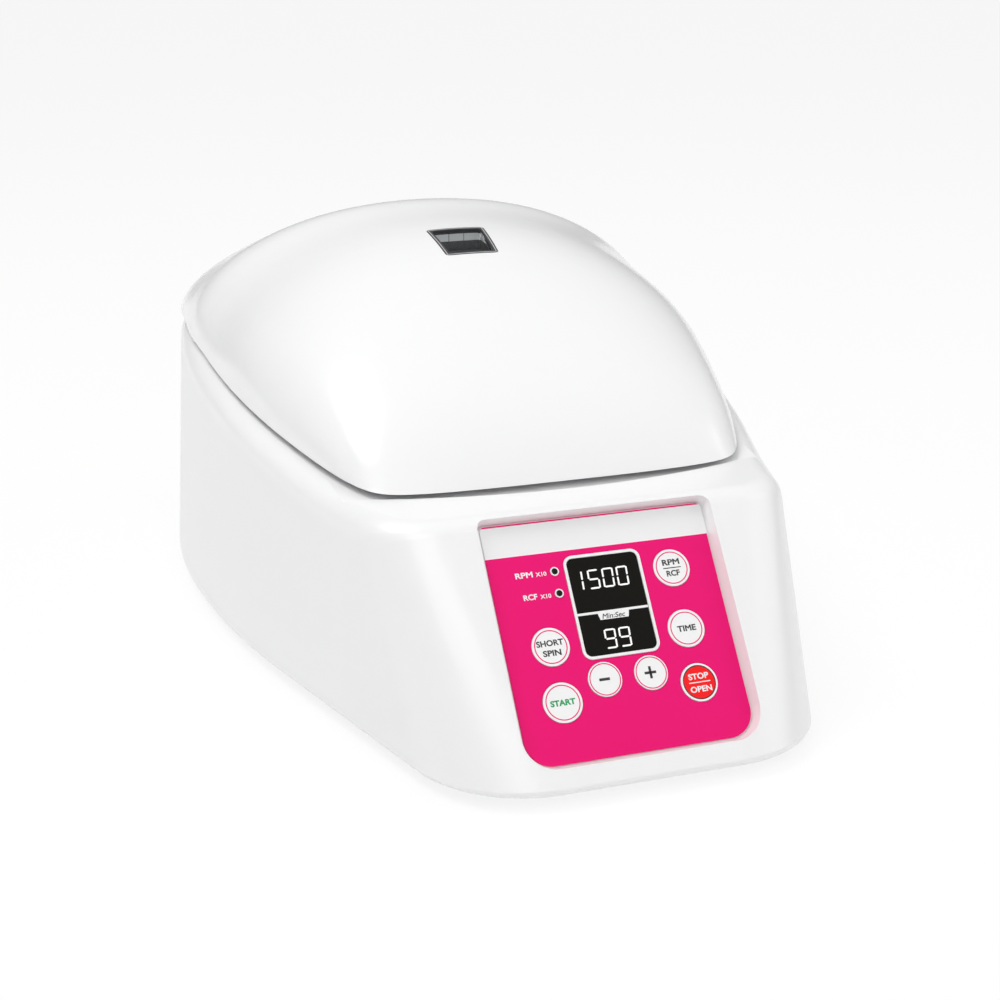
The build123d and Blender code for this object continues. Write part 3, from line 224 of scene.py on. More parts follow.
    def bump(self, height: bpy.types.NodeSocket, strength: float, distance: float) -> bpy.types.NodeSocket:
        """Turns a height into a surface relief."""
        node = self.add("ShaderNodeBump")
        self.link(height, node.inputs["Height"])
        node.inputs["Strength"].default_value = strength
        node.inputs["Distance"].default_value = distance
        return node.outputs["Normal"]

    def base(self, colour: bpy.types.NodeSocket) -> None:
        """Drives the shader's base colour."""
        self.link(colour, self.shader.inputs["Base Color"])

    def rough(self, value: bpy.types.NodeSocket) -> None:
        """Drives the shader's roughness."""
        self.link(value, self.shader.inputs["Roughness"])

    def relief(self, normal: bpy.types.NodeSocket) -> None:
        """Drives the shader's normal."""
        self.link(normal, self.shader.inputs["Normal"])


def shade(colour: Colour, factor: float) -> Colour:
    """Darkens or lightens a colour by a factor."""
    return (colour[0] * factor, colour[1] * factor, colour[2] * factor)


# Finishes


class Grain(Enum):
    """Surface texture of a moulded or coated part, as scale and relief in millimetres."""

    POLISHED = (900.0, 0.002)
    SATIN = (1400.0, 0.010)
    COARSE = (1000.0, 0.035)


class Lay(Enum):
    """Direction of the fine lines left by turning, drawing or brushing."""

    ROUND_Z = (1.0, 1.0, 60.0)
    ALONG_X = (0.02, 1.0, 1.0)
    ALONG_Z = (1.0, 1.0, 0.02)


@dataclass(frozen=True)
class Plastic:
    """Moulded plastic, coating or film of one colour with a fine grain."""

    name: str
    colour: Colour
    roughness: float = 0.3
    grain: Grain = Grain.SATIN
    coat: float = 0.0
    spread: float = 0.04
    gloss: float = 0.5

    def build(self) -> bpy.types.Material:
        """Builds the material."""
        tree = Tree(self.name)
        scale, depth = self.grain.value
        broad = tree.noise(tree.coordinates, 14.0, 2.0)
        fine = tree.noise(tree.coordinates, scale, 2.0)
        tree.base(tree.blend(broad, shade(self.colour, 0.985), self.colour))
        tree.rough(tree.ramp(broad, 0.0, 1.0, self.roughness - self.spread, self.roughness + self.spread))
        tree.relief(tree.bump(fine, 0.35, depth * MM))
        tree.shader.inputs["Specular IOR Level"].default_value = self.gloss
        tree.shader.inputs["Coat Weight"].default_value = self.coat
        tree.shader.inputs["Coat Roughness"].default_value = 0.12
        return tree.material


@dataclass(frozen=True)
class Metal:
    """Bare metal with the lines of its making."""

    name: str
    colour: Colour
    roughness: float = 0.32
    lay: Lay = Lay.ROUND_Z
    line_scale: float = 900.0
    centre: tuple[float, float, float] = (0.0, 0.0, 0.0)

    def build(self) -> bpy.types.Material:
        """Builds the material."""
        tree = Tree(self.name)
        place = tree.mapped(self.centre, (0.0, 0.0, 0.0))
        if self.lay is Lay.ROUND_Z:
            x, y, z = tree.split(place)
            flat = tree.maths("POWER", tree.maths("ADD", tree.maths("MULTIPLY", x, x), tree.maths("MULTIPLY", y, y)), 0.5)
            still = tree.maths("MULTIPLY", x, 0.01)
            vector = tree.join([flat, still, z])
        else:
            node = tree.add("ShaderNodeVectorMath", operation="MULTIPLY")
            tree.link(place, node.inputs[0])
            node.inputs[1].default_value = self.lay.value
            vector = node.outputs[0]
        lines = tree.noise(vector, self.line_scale, 3.0, 0.6)
        broad = tree.noise(place, 30.0, 2.0)
        tree.base(tree.blend(lines, shade(self.colour, 0.88), self.colour))
        tree.rough(tree.ramp(broad, 0.3, 0.7, self.roughness - 0.05, self.roughness + 0.06))
        tree.relief(tree.bump(lines, 0.25, 0.02 * MM))
        tree.shader.inputs["Metallic"].default_value = 1.0
        return tree.material


@dataclass(frozen=True)
class Rubber:
    """Soft black rubber with a dusty, uneven sheen."""

    name: str
    colour: Colour = (0.018, 0.018, 0.018)
    roughness: float = 0.72

    def build(self) -> bpy.types.Material:
        """Builds the material."""
        tree = Tree(self.name)
        broad = tree.noise(tree.coordinates, 60.0, 4.0)
        fine = tree.noise(tree.coordinates, 1500.0, 2.0)
        tree.base(tree.blend(broad, self.colour, shade(self.colour, 1.7)))
        tree.rough(tree.ramp(broad, 0.3, 0.7, self.roughness - 0.1, self.roughness + 0.1))
        tree.relief(tree.bump(fine, 0.5, 0.04 * MM))
        return tree.material


@dataclass(frozen=True)
class ClearPane:
    """Clear or smoked plastic pane."""

    name: str
    colour: Colour = (0.93, 0.95, 0.95)
    roughness: float = 0.02
    transmission: float = 1.0
    ior: float = 1.08

    def build(self) -> bpy.types.Material:
        """Builds the material."""
        tree = Tree(self.name)
        haze = tree.noise(tree.coordinates, 120.0, 3.0)
        tree.rough(tree.ramp(haze, 0.3, 0.7, self.roughness, self.roughness + 0.02))
        tree.base(tree.blend(haze, self.colour, shade(self.colour, 0.96)))
        tree.shader.inputs["Transmission Weight"].default_value = self.transmission
        tree.shader.inputs["IOR"].default_value = self.ior
        return tree.material


@dataclass(frozen=True)
class EdgedFrame:
    """Dark window collar with a painted highlight: a fine pale line round it, set by the distance from its edge in
    millimetres.
    """

    name: str
    centre_y: float
    length: float = 22.0
    width: float = 21.0
    widening: float = 0.0545
    highlight_from: float = 0.62
    highlight_to: float = 0.98
    dark: Colour = (0.045, 0.045, 0.048)
    # Colour of the painted highlight line.
    pale: Colour = (0.50, 0.50, 0.51)

    def build(self) -> bpy.types.Material:
        """Builds the material."""
        tree = Tree(self.name)
        x, y, _ = tree.split(tree.mapped((0.0, self.centre_y, 0.0), (0.0, 0.0, 0.0), (MM, MM, MM)))
        half = tree.maths("ADD", tree.maths("MULTIPLY", y, self.widening), self.width / 2)
        from_side = tree.maths("SUBTRACT", half, tree.maths("ABSOLUTE", x))
        ends = tree.maths("MULTIPLY", tree.maths("ABSOLUTE", y), -1.0)
        from_end = tree.maths("ADD", ends, self.length / 2)
        inset = tree.maths("MINIMUM", from_side, from_end)
        # Painted highlight: the pale line lies between these two distances from the collar's edge.
        past = tree.ramp(inset, self.highlight_from - 0.03, self.highlight_from + 0.03, 0.0, 1.0)
        before = tree.ramp(inset, self.highlight_to - 0.03, self.highlight_to + 0.03, 1.0, 0.0)
        tree.base(tree.blend(tree.maths("MULTIPLY", past, before), self.dark, self.pale))
        mottle = tree.noise(tree.coordinates, 900.0, 2.0)
        tree.rough(tree.ramp(mottle, 0.0, 1.0, 0.30, 0.44))
        tree.shader.inputs["Specular IOR Level"].default_value = 0.25
        return tree.material


@dataclass(frozen=True)
class WellWall:
    """Wall of the window's well: a pale band under the pane, painted shade below it, and darker at two seams."""

    name: str
    top: float
    # Depth under the top, in millimetres, where the painted shade begins.
    shade_starts: float = 2.9
    seams: tuple[float, ...] = (-2.6, 3.1)
    seam_half: float = 0.18
    pale: Colour = (0.60, 0.60, 0.61)
    # Colour of the painted shade below the pale band.
    dark: Colour = (0.050, 0.050, 0.052)

    def build(self) -> bpy.types.Material:
        """Builds the material."""
        tree = Tree(self.name)
        x, _, z = tree.split(tree.mapped((0.0, 0.0, self.top), (0.0, 0.0, 0.0), (MM, MM, MM)))
        # Painted shade: below the pale band the wall turns dark, standing in for the shade deep in the well.
        lit = tree.ramp(z, -self.shade_starts - 0.05, -self.shade_starts + 0.05, 0.0, 1.0)
        for seam in self.seams:
            off = tree.maths("ABSOLUTE", tree.maths("SUBTRACT", x, seam))
            lit = tree.maths("MULTIPLY", lit, tree.ramp(off, self.seam_half - 0.04, self.seam_half + 0.04, 0.35, 1.0))
        tree.base(tree.blend(lit, self.dark, self.pale))
        mottle = tree.noise(tree.coordinates, 900.0, 2.0)
        tree.rough(tree.ramp(mottle, 0.0, 1.0, 0.40, 0.55))
        tree.shader.inputs["Specular IOR Level"].default_value = 0.2
        return tree.material


@dataclass(frozen=True)
class PrintedLabel:
    """Keypad film: one strong colour with a bare white stripe across its top."""

    name: str
    colour: Colour = MAGENTA_INK
    stripe: Colour = (0.86, 0.86, 0.865)
    stripe_from: float = 27.2
    stripe_to: float = 37.0

    def build(self) -> bpy.types.Material:
        """Builds the material."""
        tree = Tree(self.name)
        place = PANEL_PLACE.translation
        flat = tree.mapped(tuple(place), PANEL.euler(), (MM, MM, MM))
        x, y, _ = tree.split(flat)
        inside = tree.ramp(y, self.stripe_from - 0.02, self.stripe_from + 0.02, 0.0, 1.0)
        under_edge = tree.ramp(y, self.stripe_to - 0.02, self.stripe_to + 0.02, 1.0, 0.0)
        stripe = tree.maths("MULTIPLY", inside, under_edge)
        ink = tree.noise(tree.coordinates, 40.0, 2.0)
        tree.base(tree.blend(stripe, tree.blend(ink, shade(self.colour, 0.985), self.colour), self.stripe))
        tree.rough(tree.ramp(ink, 0.3, 0.7, 0.38, 0.44))
        tree.shader.inputs["Specular IOR Level"].default_value = 0.12
        fine = tree.noise(tree.coordinates, 2200.0, 2.0)
        tree.relief(tree.bump(fine, 0.3, 0.012 * MM))
        return tree.material


@dataclass(frozen=True)
class PrintedKey:
    """Key cap printed with a disc, a thin ring and a white border."""

    name: str
    centre: Point
    ring_inner: float
    ring_outer: float
    face: Colour = WHITE_INK
    ring: Colour = MAGENTA_INK
    border: Colour = WHITE_INK

    def build(self) -> bpy.types.Material:
        """Builds the material."""
        tree = Tree(self.name)
        place = PANEL_PLACE @ Vector((self.centre[0] * MM, self.centre[1] * MM, 0.0))
        flat = tree.mapped(tuple(place), PANEL.euler(), (MM, MM, MM))
        x, y, _ = tree.split(flat)
        squares = tree.maths("ADD", tree.maths("MULTIPLY", x, x), tree.maths("MULTIPLY", y, y))
        radius = tree.maths("POWER", squares, 0.5)
        past_face = tree.ramp(radius, self.ring_inner - 0.02, self.ring_inner + 0.02, 0.0, 1.0)
        past_ring = tree.ramp(radius, self.ring_outer - 0.02, self.ring_outer + 0.02, 0.0, 1.0)
        tree.base(tree.blend(past_ring, tree.blend(past_face, self.face, self.ring), self.border))
        sheen = tree.noise(tree.coordinates, 200.0, 2.0)
        tree.rough(tree.ramp(sheen, 0.3, 0.7, 0.30, 0.36))
        tree.shader.inputs["Specular IOR Level"].default_value = 0.25
        fine = tree.noise(tree.coordinates, 2200.0, 2.0)
        tree.relief(tree.bump(fine, 0.25, 0.012 * MM))
        return tree.material


@dataclass(frozen=True)
class LampCap:
    """Lamp with a dark lens over a white collar, told apart by height over the keypad."""

    name: str
    lens_from: float = 0.25
    lens: Colour = (0.008, 0.008, 0.007)

    def build(self) -> bpy.types.Material:
        """Builds the material."""
        tree = Tree(self.name)
        _, _, height = tree.split(tree.mapped(tuple(PANEL_PLACE.translation), PANEL.euler(), (MM, MM, MM)))
        over = tree.ramp(height, self.lens_from - 0.02, self.lens_from + 0.02, 0.0, 1.0)
        tree.base(tree.blend(over, WHITE_INK, self.lens))
        mottle = tree.noise(tree.coordinates, 900.0, 2.0)
        tree.rough(tree.ramp(mottle, 0.3, 0.7, 0.16, 0.24))
        tree.shader.inputs["Specular IOR Level"].default_value = 0.2
        return tree.material


@dataclass(frozen=True)
class CircuitBoard:
    """Green lacquered board with copper tracks under the lacquer."""

    name: str
    lacquer: Colour = (0.008, 0.10, 0.035)
    track: Colour = (0.02, 0.19, 0.07)

    def build(self) -> bpy.types.Material:
        """Builds the material."""
        tree = Tree(self.name)
        brick = tree.add("ShaderNodeTexBrick", offset=0.35)
        tree.link(tree.coordinates, brick.inputs["Vector"])
        brick.inputs["Scale"].default_value = 220.0
        brick.inputs["Mortar Size"].default_value = 0.03
        weave = tree.noise(tree.coordinates, 900.0, 2.0)
        tree.base(tree.blend(brick.outputs["Fac"], self.lacquer, self.track))
        tree.rough(tree.ramp(weave, 0.3, 0.7, 0.28, 0.40))
        tree.relief(tree.bump(weave, 0.2, 0.02 * MM))
        return tree.material


@dataclass(frozen=True)
class TapedWinding:
    """Transformer tape laid round a winding."""

    name: str
    colour: Colour = (0.62, 0.45, 0.05)

    def build(self) -> bpy.types.Material:
        """Builds the material."""
        tree = Tree(self.name)
        wave = tree.add("ShaderNodeTexWave", wave_type="BANDS", bands_direction="Z")
        tree.link(tree.coordinates, wave.inputs["Vector"])
        wave.inputs["Scale"].default_value = 60.0
        wave.inputs["Distortion"].default_value = 0.6
        tree.base(tree.blend(wave.outputs["Fac"], shade(self.colour, 0.7), self.colour))
        tree.rough(tree.ramp(wave.outputs["Fac"], 0.0, 1.0, 0.35, 0.5))
        tree.relief(tree.bump(wave.outputs["Fac"], 0.3, 0.05 * MM))
        return tree.material


@dataclass(frozen=True)
class Ink:
    """Printed ink with a slightly mottled tone."""

    name: str
    colour: Colour

    def build(self) -> bpy.types.Material:
        """Builds the material."""
        tree = Tree(self.name)
        mottle = tree.noise(tree.coordinates, 900.0, 2.0)
        tree.base(tree.blend(mottle, shade(self.colour, 0.97), self.colour))
        tree.rough(tree.ramp(mottle, 0.3, 0.7, 0.32, 0.42))
        return tree.material


@dataclass(frozen=True)
class LitSegment:
    """Display segment that glows a soft white."""

    name: str
    colour: Colour = (0.88, 0.88, 0.86)
    glow: float = 0.25

    def build(self) -> bpy.types.Material:
        """Builds the material."""
        tree = Tree(self.name)
        mottle = tree.noise(tree.coordinates, 700.0, 2.0)
        tree.base(tree.blend(mottle, shade(self.colour, 0.95), self.colour))
        tree.rough(tree.ramp(mottle, 0.3, 0.7, 0.35, 0.45))
        tree.shader.inputs["Emission Color"].default_value = (*self.colour, 1.0)
        tree.shader.inputs["Emission Strength"].default_value = self.glow
        return tree.material


# Mesh tools


def add_object(name: str, mesh: bpy.types.Mesh, material: bpy.types.Material) -> bpy.types.Object:
    """Links a finished mesh as an object at the origin.

    Args:
        name: The piece's name.
        mesh: Its mesh, already in place.
        material: Its finish.

    Returns:
        The new object.
    """
    mesh.name = name
    mesh.materials.clear()
    mesh.materials.append(material)
    piece = bpy.data.objects.new(name, mesh)
    bpy.context.scene.collection.objects.link(piece)
    return piece


def outwards(mesh: bpy.types.Mesh) -> None:
    """Merges doubles and turns the faces outwards."""
    form = bmesh.new()
    form.from_mesh(mesh)
    bmesh.ops.remove_doubles(form, verts=form.verts, dist=1e-7)
    bmesh.ops.recalc_face_normals(form, faces=form.faces)
    form.to_mesh(mesh)
    form.free()


def prism(outline: list[Point], low: float, high: float, plane: Matrix = PANEL_PLACE) -> bpy.types.Mesh:
    """Raises a closed outline into a thin plate on a plane.

    Args:
        outline: Corner points on the plane, in millimetres and in order.
        low: Height of the underside over the plane, in millimetres.
        high: Height of the top over the plane, in millimetres.
        plane: Where the plane lies, the keypad's if not given.

    Returns:
        The mesh, in the machine's frame.
    """
    form = bmesh.new()
    bottom = [form.verts.new((x * MM, y * MM, low * MM)) for x, y in outline]
    top = [form.verts.new((x * MM, y * MM, high * MM)) for x, y in outline]
    form.faces.new(top)
    form.faces.new(list(reversed(bottom)))
    count = len(outline)
    for i in range(count):
        j = (i + 1) % count
        form.faces.new((bottom[i], bottom[j], top[j], top[i]))
    bmesh.ops.recalc_face_normals(form, faces=form.faces)
    bmesh.ops.transform(form, matrix=plane, verts=form.verts)
    mesh = bpy.data.meshes.new("plate")
    form.to_mesh(mesh)
    form.free()
    return mesh


def joined(name: str, meshes: list[bpy.types.Mesh], material: bpy.types.Material) -> bpy.types.Object:
    """Joins several meshes into one piece."""
    form = bmesh.new()
    for mesh in meshes:
        form.from_mesh(mesh)
        bpy.data.meshes.remove(mesh)
    whole = bpy.data.meshes.new(name)
    form.to_mesh(whole)
    form.free()
    return add_object(name, whole, material)


def ring_mesh(inner: float, outer: float, low: float, high: float, plane: Matrix,
              steps: int = 48) -> bpy.types.Mesh:
    """Makes a flat ring round a plane's origin.

    Args:
        inner: Inner radius in millimetres.
        outer: Outer radius in millimetres.
        low: Height of its underside over the plane.
        high: Height of its top over the plane.
        plane: Where the plane lies.
        steps: Divisions round the ring.

    Returns:
        The mesh, in the machine's frame.
    """
    form = bmesh.new()
    loops = []
    for radius, height in ((inner, low), (outer, low), (outer, high), (inner, high)):
        loops.append([
            form.verts.new((
                radius * math.cos(2 * math.pi * i / steps) * MM,
                radius * math.sin(2 * math.pi * i / steps) * MM,
                height * MM,
            ))
            for i in range(steps)
        ])
    for a in range(4):
        b = (a + 1) % 4
        for i in range(steps):
            j = (i + 1) % steps
            form.faces.new((loops[a][i], loops[a][j], loops[b][j], loops[b][i]))
    bmesh.ops.recalc_face_normals(form, faces=form.faces)
    bmesh.ops.transform(form, matrix=plane, verts=form.verts)
    mesh = bpy.data.meshes.new("ring")
    form.to_mesh(mesh)
    form.free()
    return mesh


@dataclass(frozen=True)
class Words:
    """A line of lettering fitted into a box on a plane, in millimetres."""

    text: str
    left: float
    right: float
    low: float
    high: float
    weight: float = 0.032
    lean: float = 0.0

    def mesh(self, base: float, thickness: float = 0.04, plane: Matrix = PANEL_PLACE) -> bpy.types.Mesh:
        """Makes the lettering as a thin solid on a plane.

        Args:
            base: Height over the plane of the letters' underside, in millimetres.
            thickness: How far the letters stand up, in millimetres.
            plane: Where the plane lies, the keypad's if not given.

        Returns:
            The mesh, in the machine's frame.
        """
        curve = bpy.data.curves.new("words", "FONT")
        curve.body = self.text
        curve.size = 1.0
        curve.shear = self.lean
        curve.bevel_depth = self.weight
        curve.bevel_resolution = 0
        curve.extrude = 0.05
        curve.resolution_u = 4
        holder = bpy.data.objects.new("words", curve)
        bpy.context.scene.collection.objects.link(holder)
        bpy.context.view_layer.update()
        mesh = bpy.data.meshes.new_from_object(holder.evaluated_get(bpy.context.evaluated_depsgraph_get()))
        bpy.data.objects.remove(holder)
        bpy.data.curves.remove(curve)
        xs = [v.co.x for v in mesh.vertices]
        ys = [v.co.y for v in mesh.vertices]
        zs = [v.co.z for v in mesh.vertices]
        wide = (self.right - self.left) / (max(xs) - min(xs))
        tall = (self.high - self.low) / (max(ys) - min(ys))
        deep = thickness / (max(zs) - min(zs))
        fit = Matrix((
            (wide * MM, 0.0, 0.0, (self.left - min(xs) * wide) * MM),
            (0.0, tall * MM, 0.0, (self.low - min(ys) * tall) * MM),
            (0.0, 0.0, deep * MM, (base + thickness / 2) * MM),
            (0.0, 0.0, 0.0, 1.0),
        ))
        mesh.transform(plane @ fit)
        outwards(mesh)
        return mesh


# Geometry node kit


class Repeat:
    """A Geometry Nodes tree that copies one form onto the points of a mesh."""

    def __init__(self, name: str, material: bpy.types.Material) -> None:
        """Builds the tree: a named size, one form per point, real copies, one finish.

        Args:
            name: The tree's name.
            material: The finish of the copies.
        """
        self.tree = bpy.data.node_groups.new(name, "GeometryNodeTree")
        face = self.tree.interface
        face.new_socket(name="Geometry", in_out="INPUT", socket_type="NodeSocketGeometry")
        face.new_socket(name="Form", in_out="INPUT", socket_type="NodeSocketObject")
        face.new_socket(name="Size", in_out="INPUT", socket_type="NodeSocketFloat")
        face.new_socket(name="Size Spread", in_out="INPUT", socket_type="NodeSocketFloat")
        face.new_socket(name="Geometry", in_out="OUTPUT", socket_type="NodeSocketGeometry")
        nodes = self.tree.nodes
        start = nodes.new("NodeGroupInput")
        end = nodes.new("NodeGroupOutput")
        form = nodes.new("GeometryNodeObjectInfo")
        place = nodes.new("GeometryNodeInstanceOnPoints")
        turn = nodes.new("GeometryNodeInputNamedAttribute")
        turn.data_type = "FLOAT_VECTOR"
        turn.inputs["Name"].default_value = "turn"
        to_turn = nodes.new("FunctionNodeEulerToRotation")
        spread = nodes.new("FunctionNodeRandomValue")
        spread.data_type = "FLOAT"
        spread.inputs["Seed"].default_value = 7
        least = nodes.new("ShaderNodeMath")
        least.operation = "SUBTRACT"
        most = nodes.new("ShaderNodeMath")
        most.operation = "ADD"
        real = nodes.new("GeometryNodeRealizeInstances")
        dress = nodes.new("GeometryNodeSetMaterial")
        dress.inputs["Material"].default_value = material
        link = self.tree.links.new
        link(start.outputs["Form"], form.inputs["Object"])
        link(start.outputs["Geometry"], place.inputs["Points"])
        link(form.outputs["Geometry"], place.inputs["Instance"])
        link(turn.outputs["Attribute"], to_turn.inputs[0])
        link(to_turn.outputs[0], place.inputs["Rotation"])
        link(start.outputs["Size"], least.inputs[0])
        link(start.outputs["Size Spread"], least.inputs[1])
        link(start.outputs["Size"], most.inputs[0])
        link(start.outputs["Size Spread"], most.inputs[1])
        floats = [s for s in spread.inputs if s.type == "VALUE" and s.name in ("Min", "Max")]
        link(least.outputs[0], floats[0])
        link(most.outputs[0], floats[1])
        link([s for s in spread.outputs if s.type == "VALUE"][0], place.inputs["Scale"])
        link(place.outputs["Instances"], real.inputs["Geometry"])
        link(real.outputs["Geometry"], dress.inputs["Geometry"])
        link(dress.outputs["Geometry"], end.inputs["Geometry"])
        self.material = material

    def run(self, name: str, form: bpy.types.Mesh, places: list[Matrix], size: float = 1.0,
            spread: float = 0.0) -> bpy.types.Object:
        """Copies a form to each place and returns the plain mesh.

        Args:
            name: The finished piece's name.
            form: The mesh of one copy, round its own origin.
            places: Where each copy stands in the machine's frame.
            size: Scale of the copies.
            spread: Random change of that scale, up or down.

        Returns:
            The finished piece, at the origin.
        """
        seed = bpy.data.objects.new(name + "_form", form)
        bpy.context.scene.collection.objects.link(seed)
        points = bpy.data.meshes.new(name + "_points")
        points.from_pydata([tuple(m.translation) for m in places], [], [])
        turns = points.attributes.new("turn", "FLOAT_VECTOR", "POINT")
        for i, m in enumerate(places):
            turns.data[i].vector = tuple(m.to_euler())
        holder = bpy.data.objects.new(name + "_points", points)
        bpy.context.scene.collection.objects.link(holder)
        modifier = holder.modifiers.new("repeat", "NODES")
        modifier.node_group = self.tree
        named = {
            item.name: item.identifier
            for item in self.tree.interface.items_tree
            if item.item_type == "SOCKET" and item.in_out == "INPUT"
        }
        modifier[named["Form"]] = seed
        modifier[named["Size"]] = size
        modifier[named["Size Spread"]] = spread
        bpy.context.view_layer.update()
        made = bpy.data.meshes.new_from_object(holder.evaluated_get(bpy.context.evaluated_depsgraph_get()))
        bpy.data.objects.remove(holder)
        bpy.data.objects.remove(seed)
        return add_object(name, made, self.material)


def revolved(profile: list[Point], steps: int) -> bpy.types.Mesh:
    """Turns a closed profile of (radius, height) in millimetres about Z."""
    form = bmesh.new()
    loops = [
        [
            form.verts.new((r * math.cos(2 * math.pi * i / steps) * MM, r * math.sin(2 * math.pi * i / steps) * MM, z * MM))
            for i in range(steps)
        ]
        for r, z in profile
    ]
    for a, b in zip(loops, loops[1:]):
        for i in range(steps):
            j = (i + 1) % steps
            form.faces.new((a[i], a[j], b[j], b[i]))
    form.faces.new(list(reversed(loops[0])))
    form.faces.new(loops[-1])
    bmesh.ops.recalc_face_normals(form, faces=form.faces)
    mesh = bpy.data.meshes.new("turned")
    form.to_mesh(mesh)
    form.free()
    return mesh


def smooth(mesh: bpy.types.Mesh, angle: float = 30.0) -> None:
    """Shades a mesh smooth, with edges sharper than an angle kept."""
    mesh.shade_smooth()
    mesh.set_sharp_from_angle(angle=math.radians(angle))


# Sub-assemblies


def dress(finish: bpy.types.Material, *nodes: str) -> None:
    """Gives CAD nodes their finish.

    Args:
        finish: The material.
        nodes: The nodes' names.
    """
    for node in nodes:
        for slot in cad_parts[node].material_slots:
            slot.material = finish
        LOG.info("dressed %s with %s", node, finish.name)


def report(piece: bpy.types.Object, body: str) -> None:
    """Ties a finished piece to its body, and logs it."""
    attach(piece, body)
    LOG.info("%s rides on %s with %d faces", piece.name, body, len(piece.data.polygons))


@dataclass
class Housing:
    """Lower housing with its base plate, feet and screws."""

    screw_places: tuple[Point, ...] = ((-68.0, -62.0), (68.0, -62.0), (-78.0, 116.0), (78.0, 116.0))
    screw_face: float = 2.8
    drive_radius: float = 1.55
    drive_lobes: int = 6

    def dress(self) -> None:
        """Finishes the carried-over housing pieces."""
        dress(Plastic("housing_white", (0.90, 0.90, 0.905), 0.33, Grain.POLISHED, 0.25).build(), "lower_housing")
        dress(Plastic("base_powder_coat", (0.42, 0.43, 0.44), 0.5, Grain.COARSE).build(), "base_plate")
        dress(Rubber("foot_rubber").build(), "rubber_feet")
        dress(Metal("screw_zinc", (0.62, 0.62, 0.63), 0.34).build(), "housing_screws", "lid_screws", "mount_screws",
              "board_screws")

    def drive_form(self) -> bpy.types.Mesh:
        """Makes the lobed outline of a drive socket in a screw's head, as a thin sheet for its painted shade."""
        outline = []
        for step in range(48):
            turn = 2 * math.pi * step / 48
            radius = self.drive_radius * (0.82 + 0.18 * math.cos(self.drive_lobes * turn))
            outline.append((radius * math.cos(turn), radius * math.sin(turn)))
        form = bmesh.new()
        low = [form.verts.new((x * MM, y * MM, -0.03 * MM)) for x, y in outline]
        high = [form.verts.new((x * MM, y * MM, 0.03 * MM)) for x, y in outline]
        form.faces.new(high)
        form.faces.new(list(reversed(low)))
        for i in range(48):
            j = (i + 1) % 48
            form.faces.new((low[i], low[j], high[j], high[i]))
        bmesh.ops.recalc_face_normals(form, faces=form.faces)
        mesh = bpy.data.meshes.new("drive")
        form.to_mesh(mesh)
        form.free()
        return mesh

    def build(self) -> None:
        """Adds painted shade in the shape of the screws' drive sockets under the machine."""
        # Painted shade: near-black sheets on the screw heads stand in for the shade inside the drive sockets.
        socket = Ink("socket_shadow", (0.03, 0.03, 0.03)).build()
        places = [Matrix.Translation((x * MM, y * MM, self.screw_face * MM)) for x, y in self.screw_places]
        report(Repeat("drive_socket_shade", socket).run("screw_drives", self.drive_form(), places), "base")


@dataclass
class Lid:
    """Domed lid with its window, inner cover, hinge and striker."""

    def dress(self) -> None:
        """Finishes the carried-over lid pieces."""
        dress(Plastic("lid_white", (0.90, 0.90, 0.905), 0.22, Grain.POLISHED, 0.3).build(), "lid_shell")
        low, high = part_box("window_frame")
        dress(EdgedFrame("window_frame_painted_highlight", (low[1] + high[1]) / 2).build(), "window_frame")
        dress(WellWall("well_grey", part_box("window_well")[1][2]).build(), "window_well")
        # Painted shade: the pane at the well's floor is near black and without sheen, standing in for the shade deep
        # in the well.
        dress(Plastic("smoked_pane", (0.050, 0.050, 0.052), 0.33, Grain.POLISHED, gloss=0.02).build(), "well_pane")
        dress(ClearPane("lid_pane").build(), "lid_window", "inner_window")
        dress(Plastic("cover_grey", (0.52, 0.53, 0.54), 0.45, Grain.COARSE).build(), "lid_liner")
        dress(Metal("hinge_sheet", (0.60, 0.60, 0.61), 0.36, Lay.ALONG_X).build(), "hinge_arms", "hinge_brackets",
              "lid_striker", "latch_bracket")
        dress(Metal("pin_ground", (0.70, 0.70, 0.71), 0.2, Lay.ALONG_X).build(), "hinge_pin")
        dress(Metal("spring_wire", (0.36, 0.36, 0.37), 0.3, Lay.ALONG_X).build(), "lid_springs")
        dress(Plastic("hook_acetal", (0.72, 0.71, 0.66), 0.4).build(), "latch_hook")


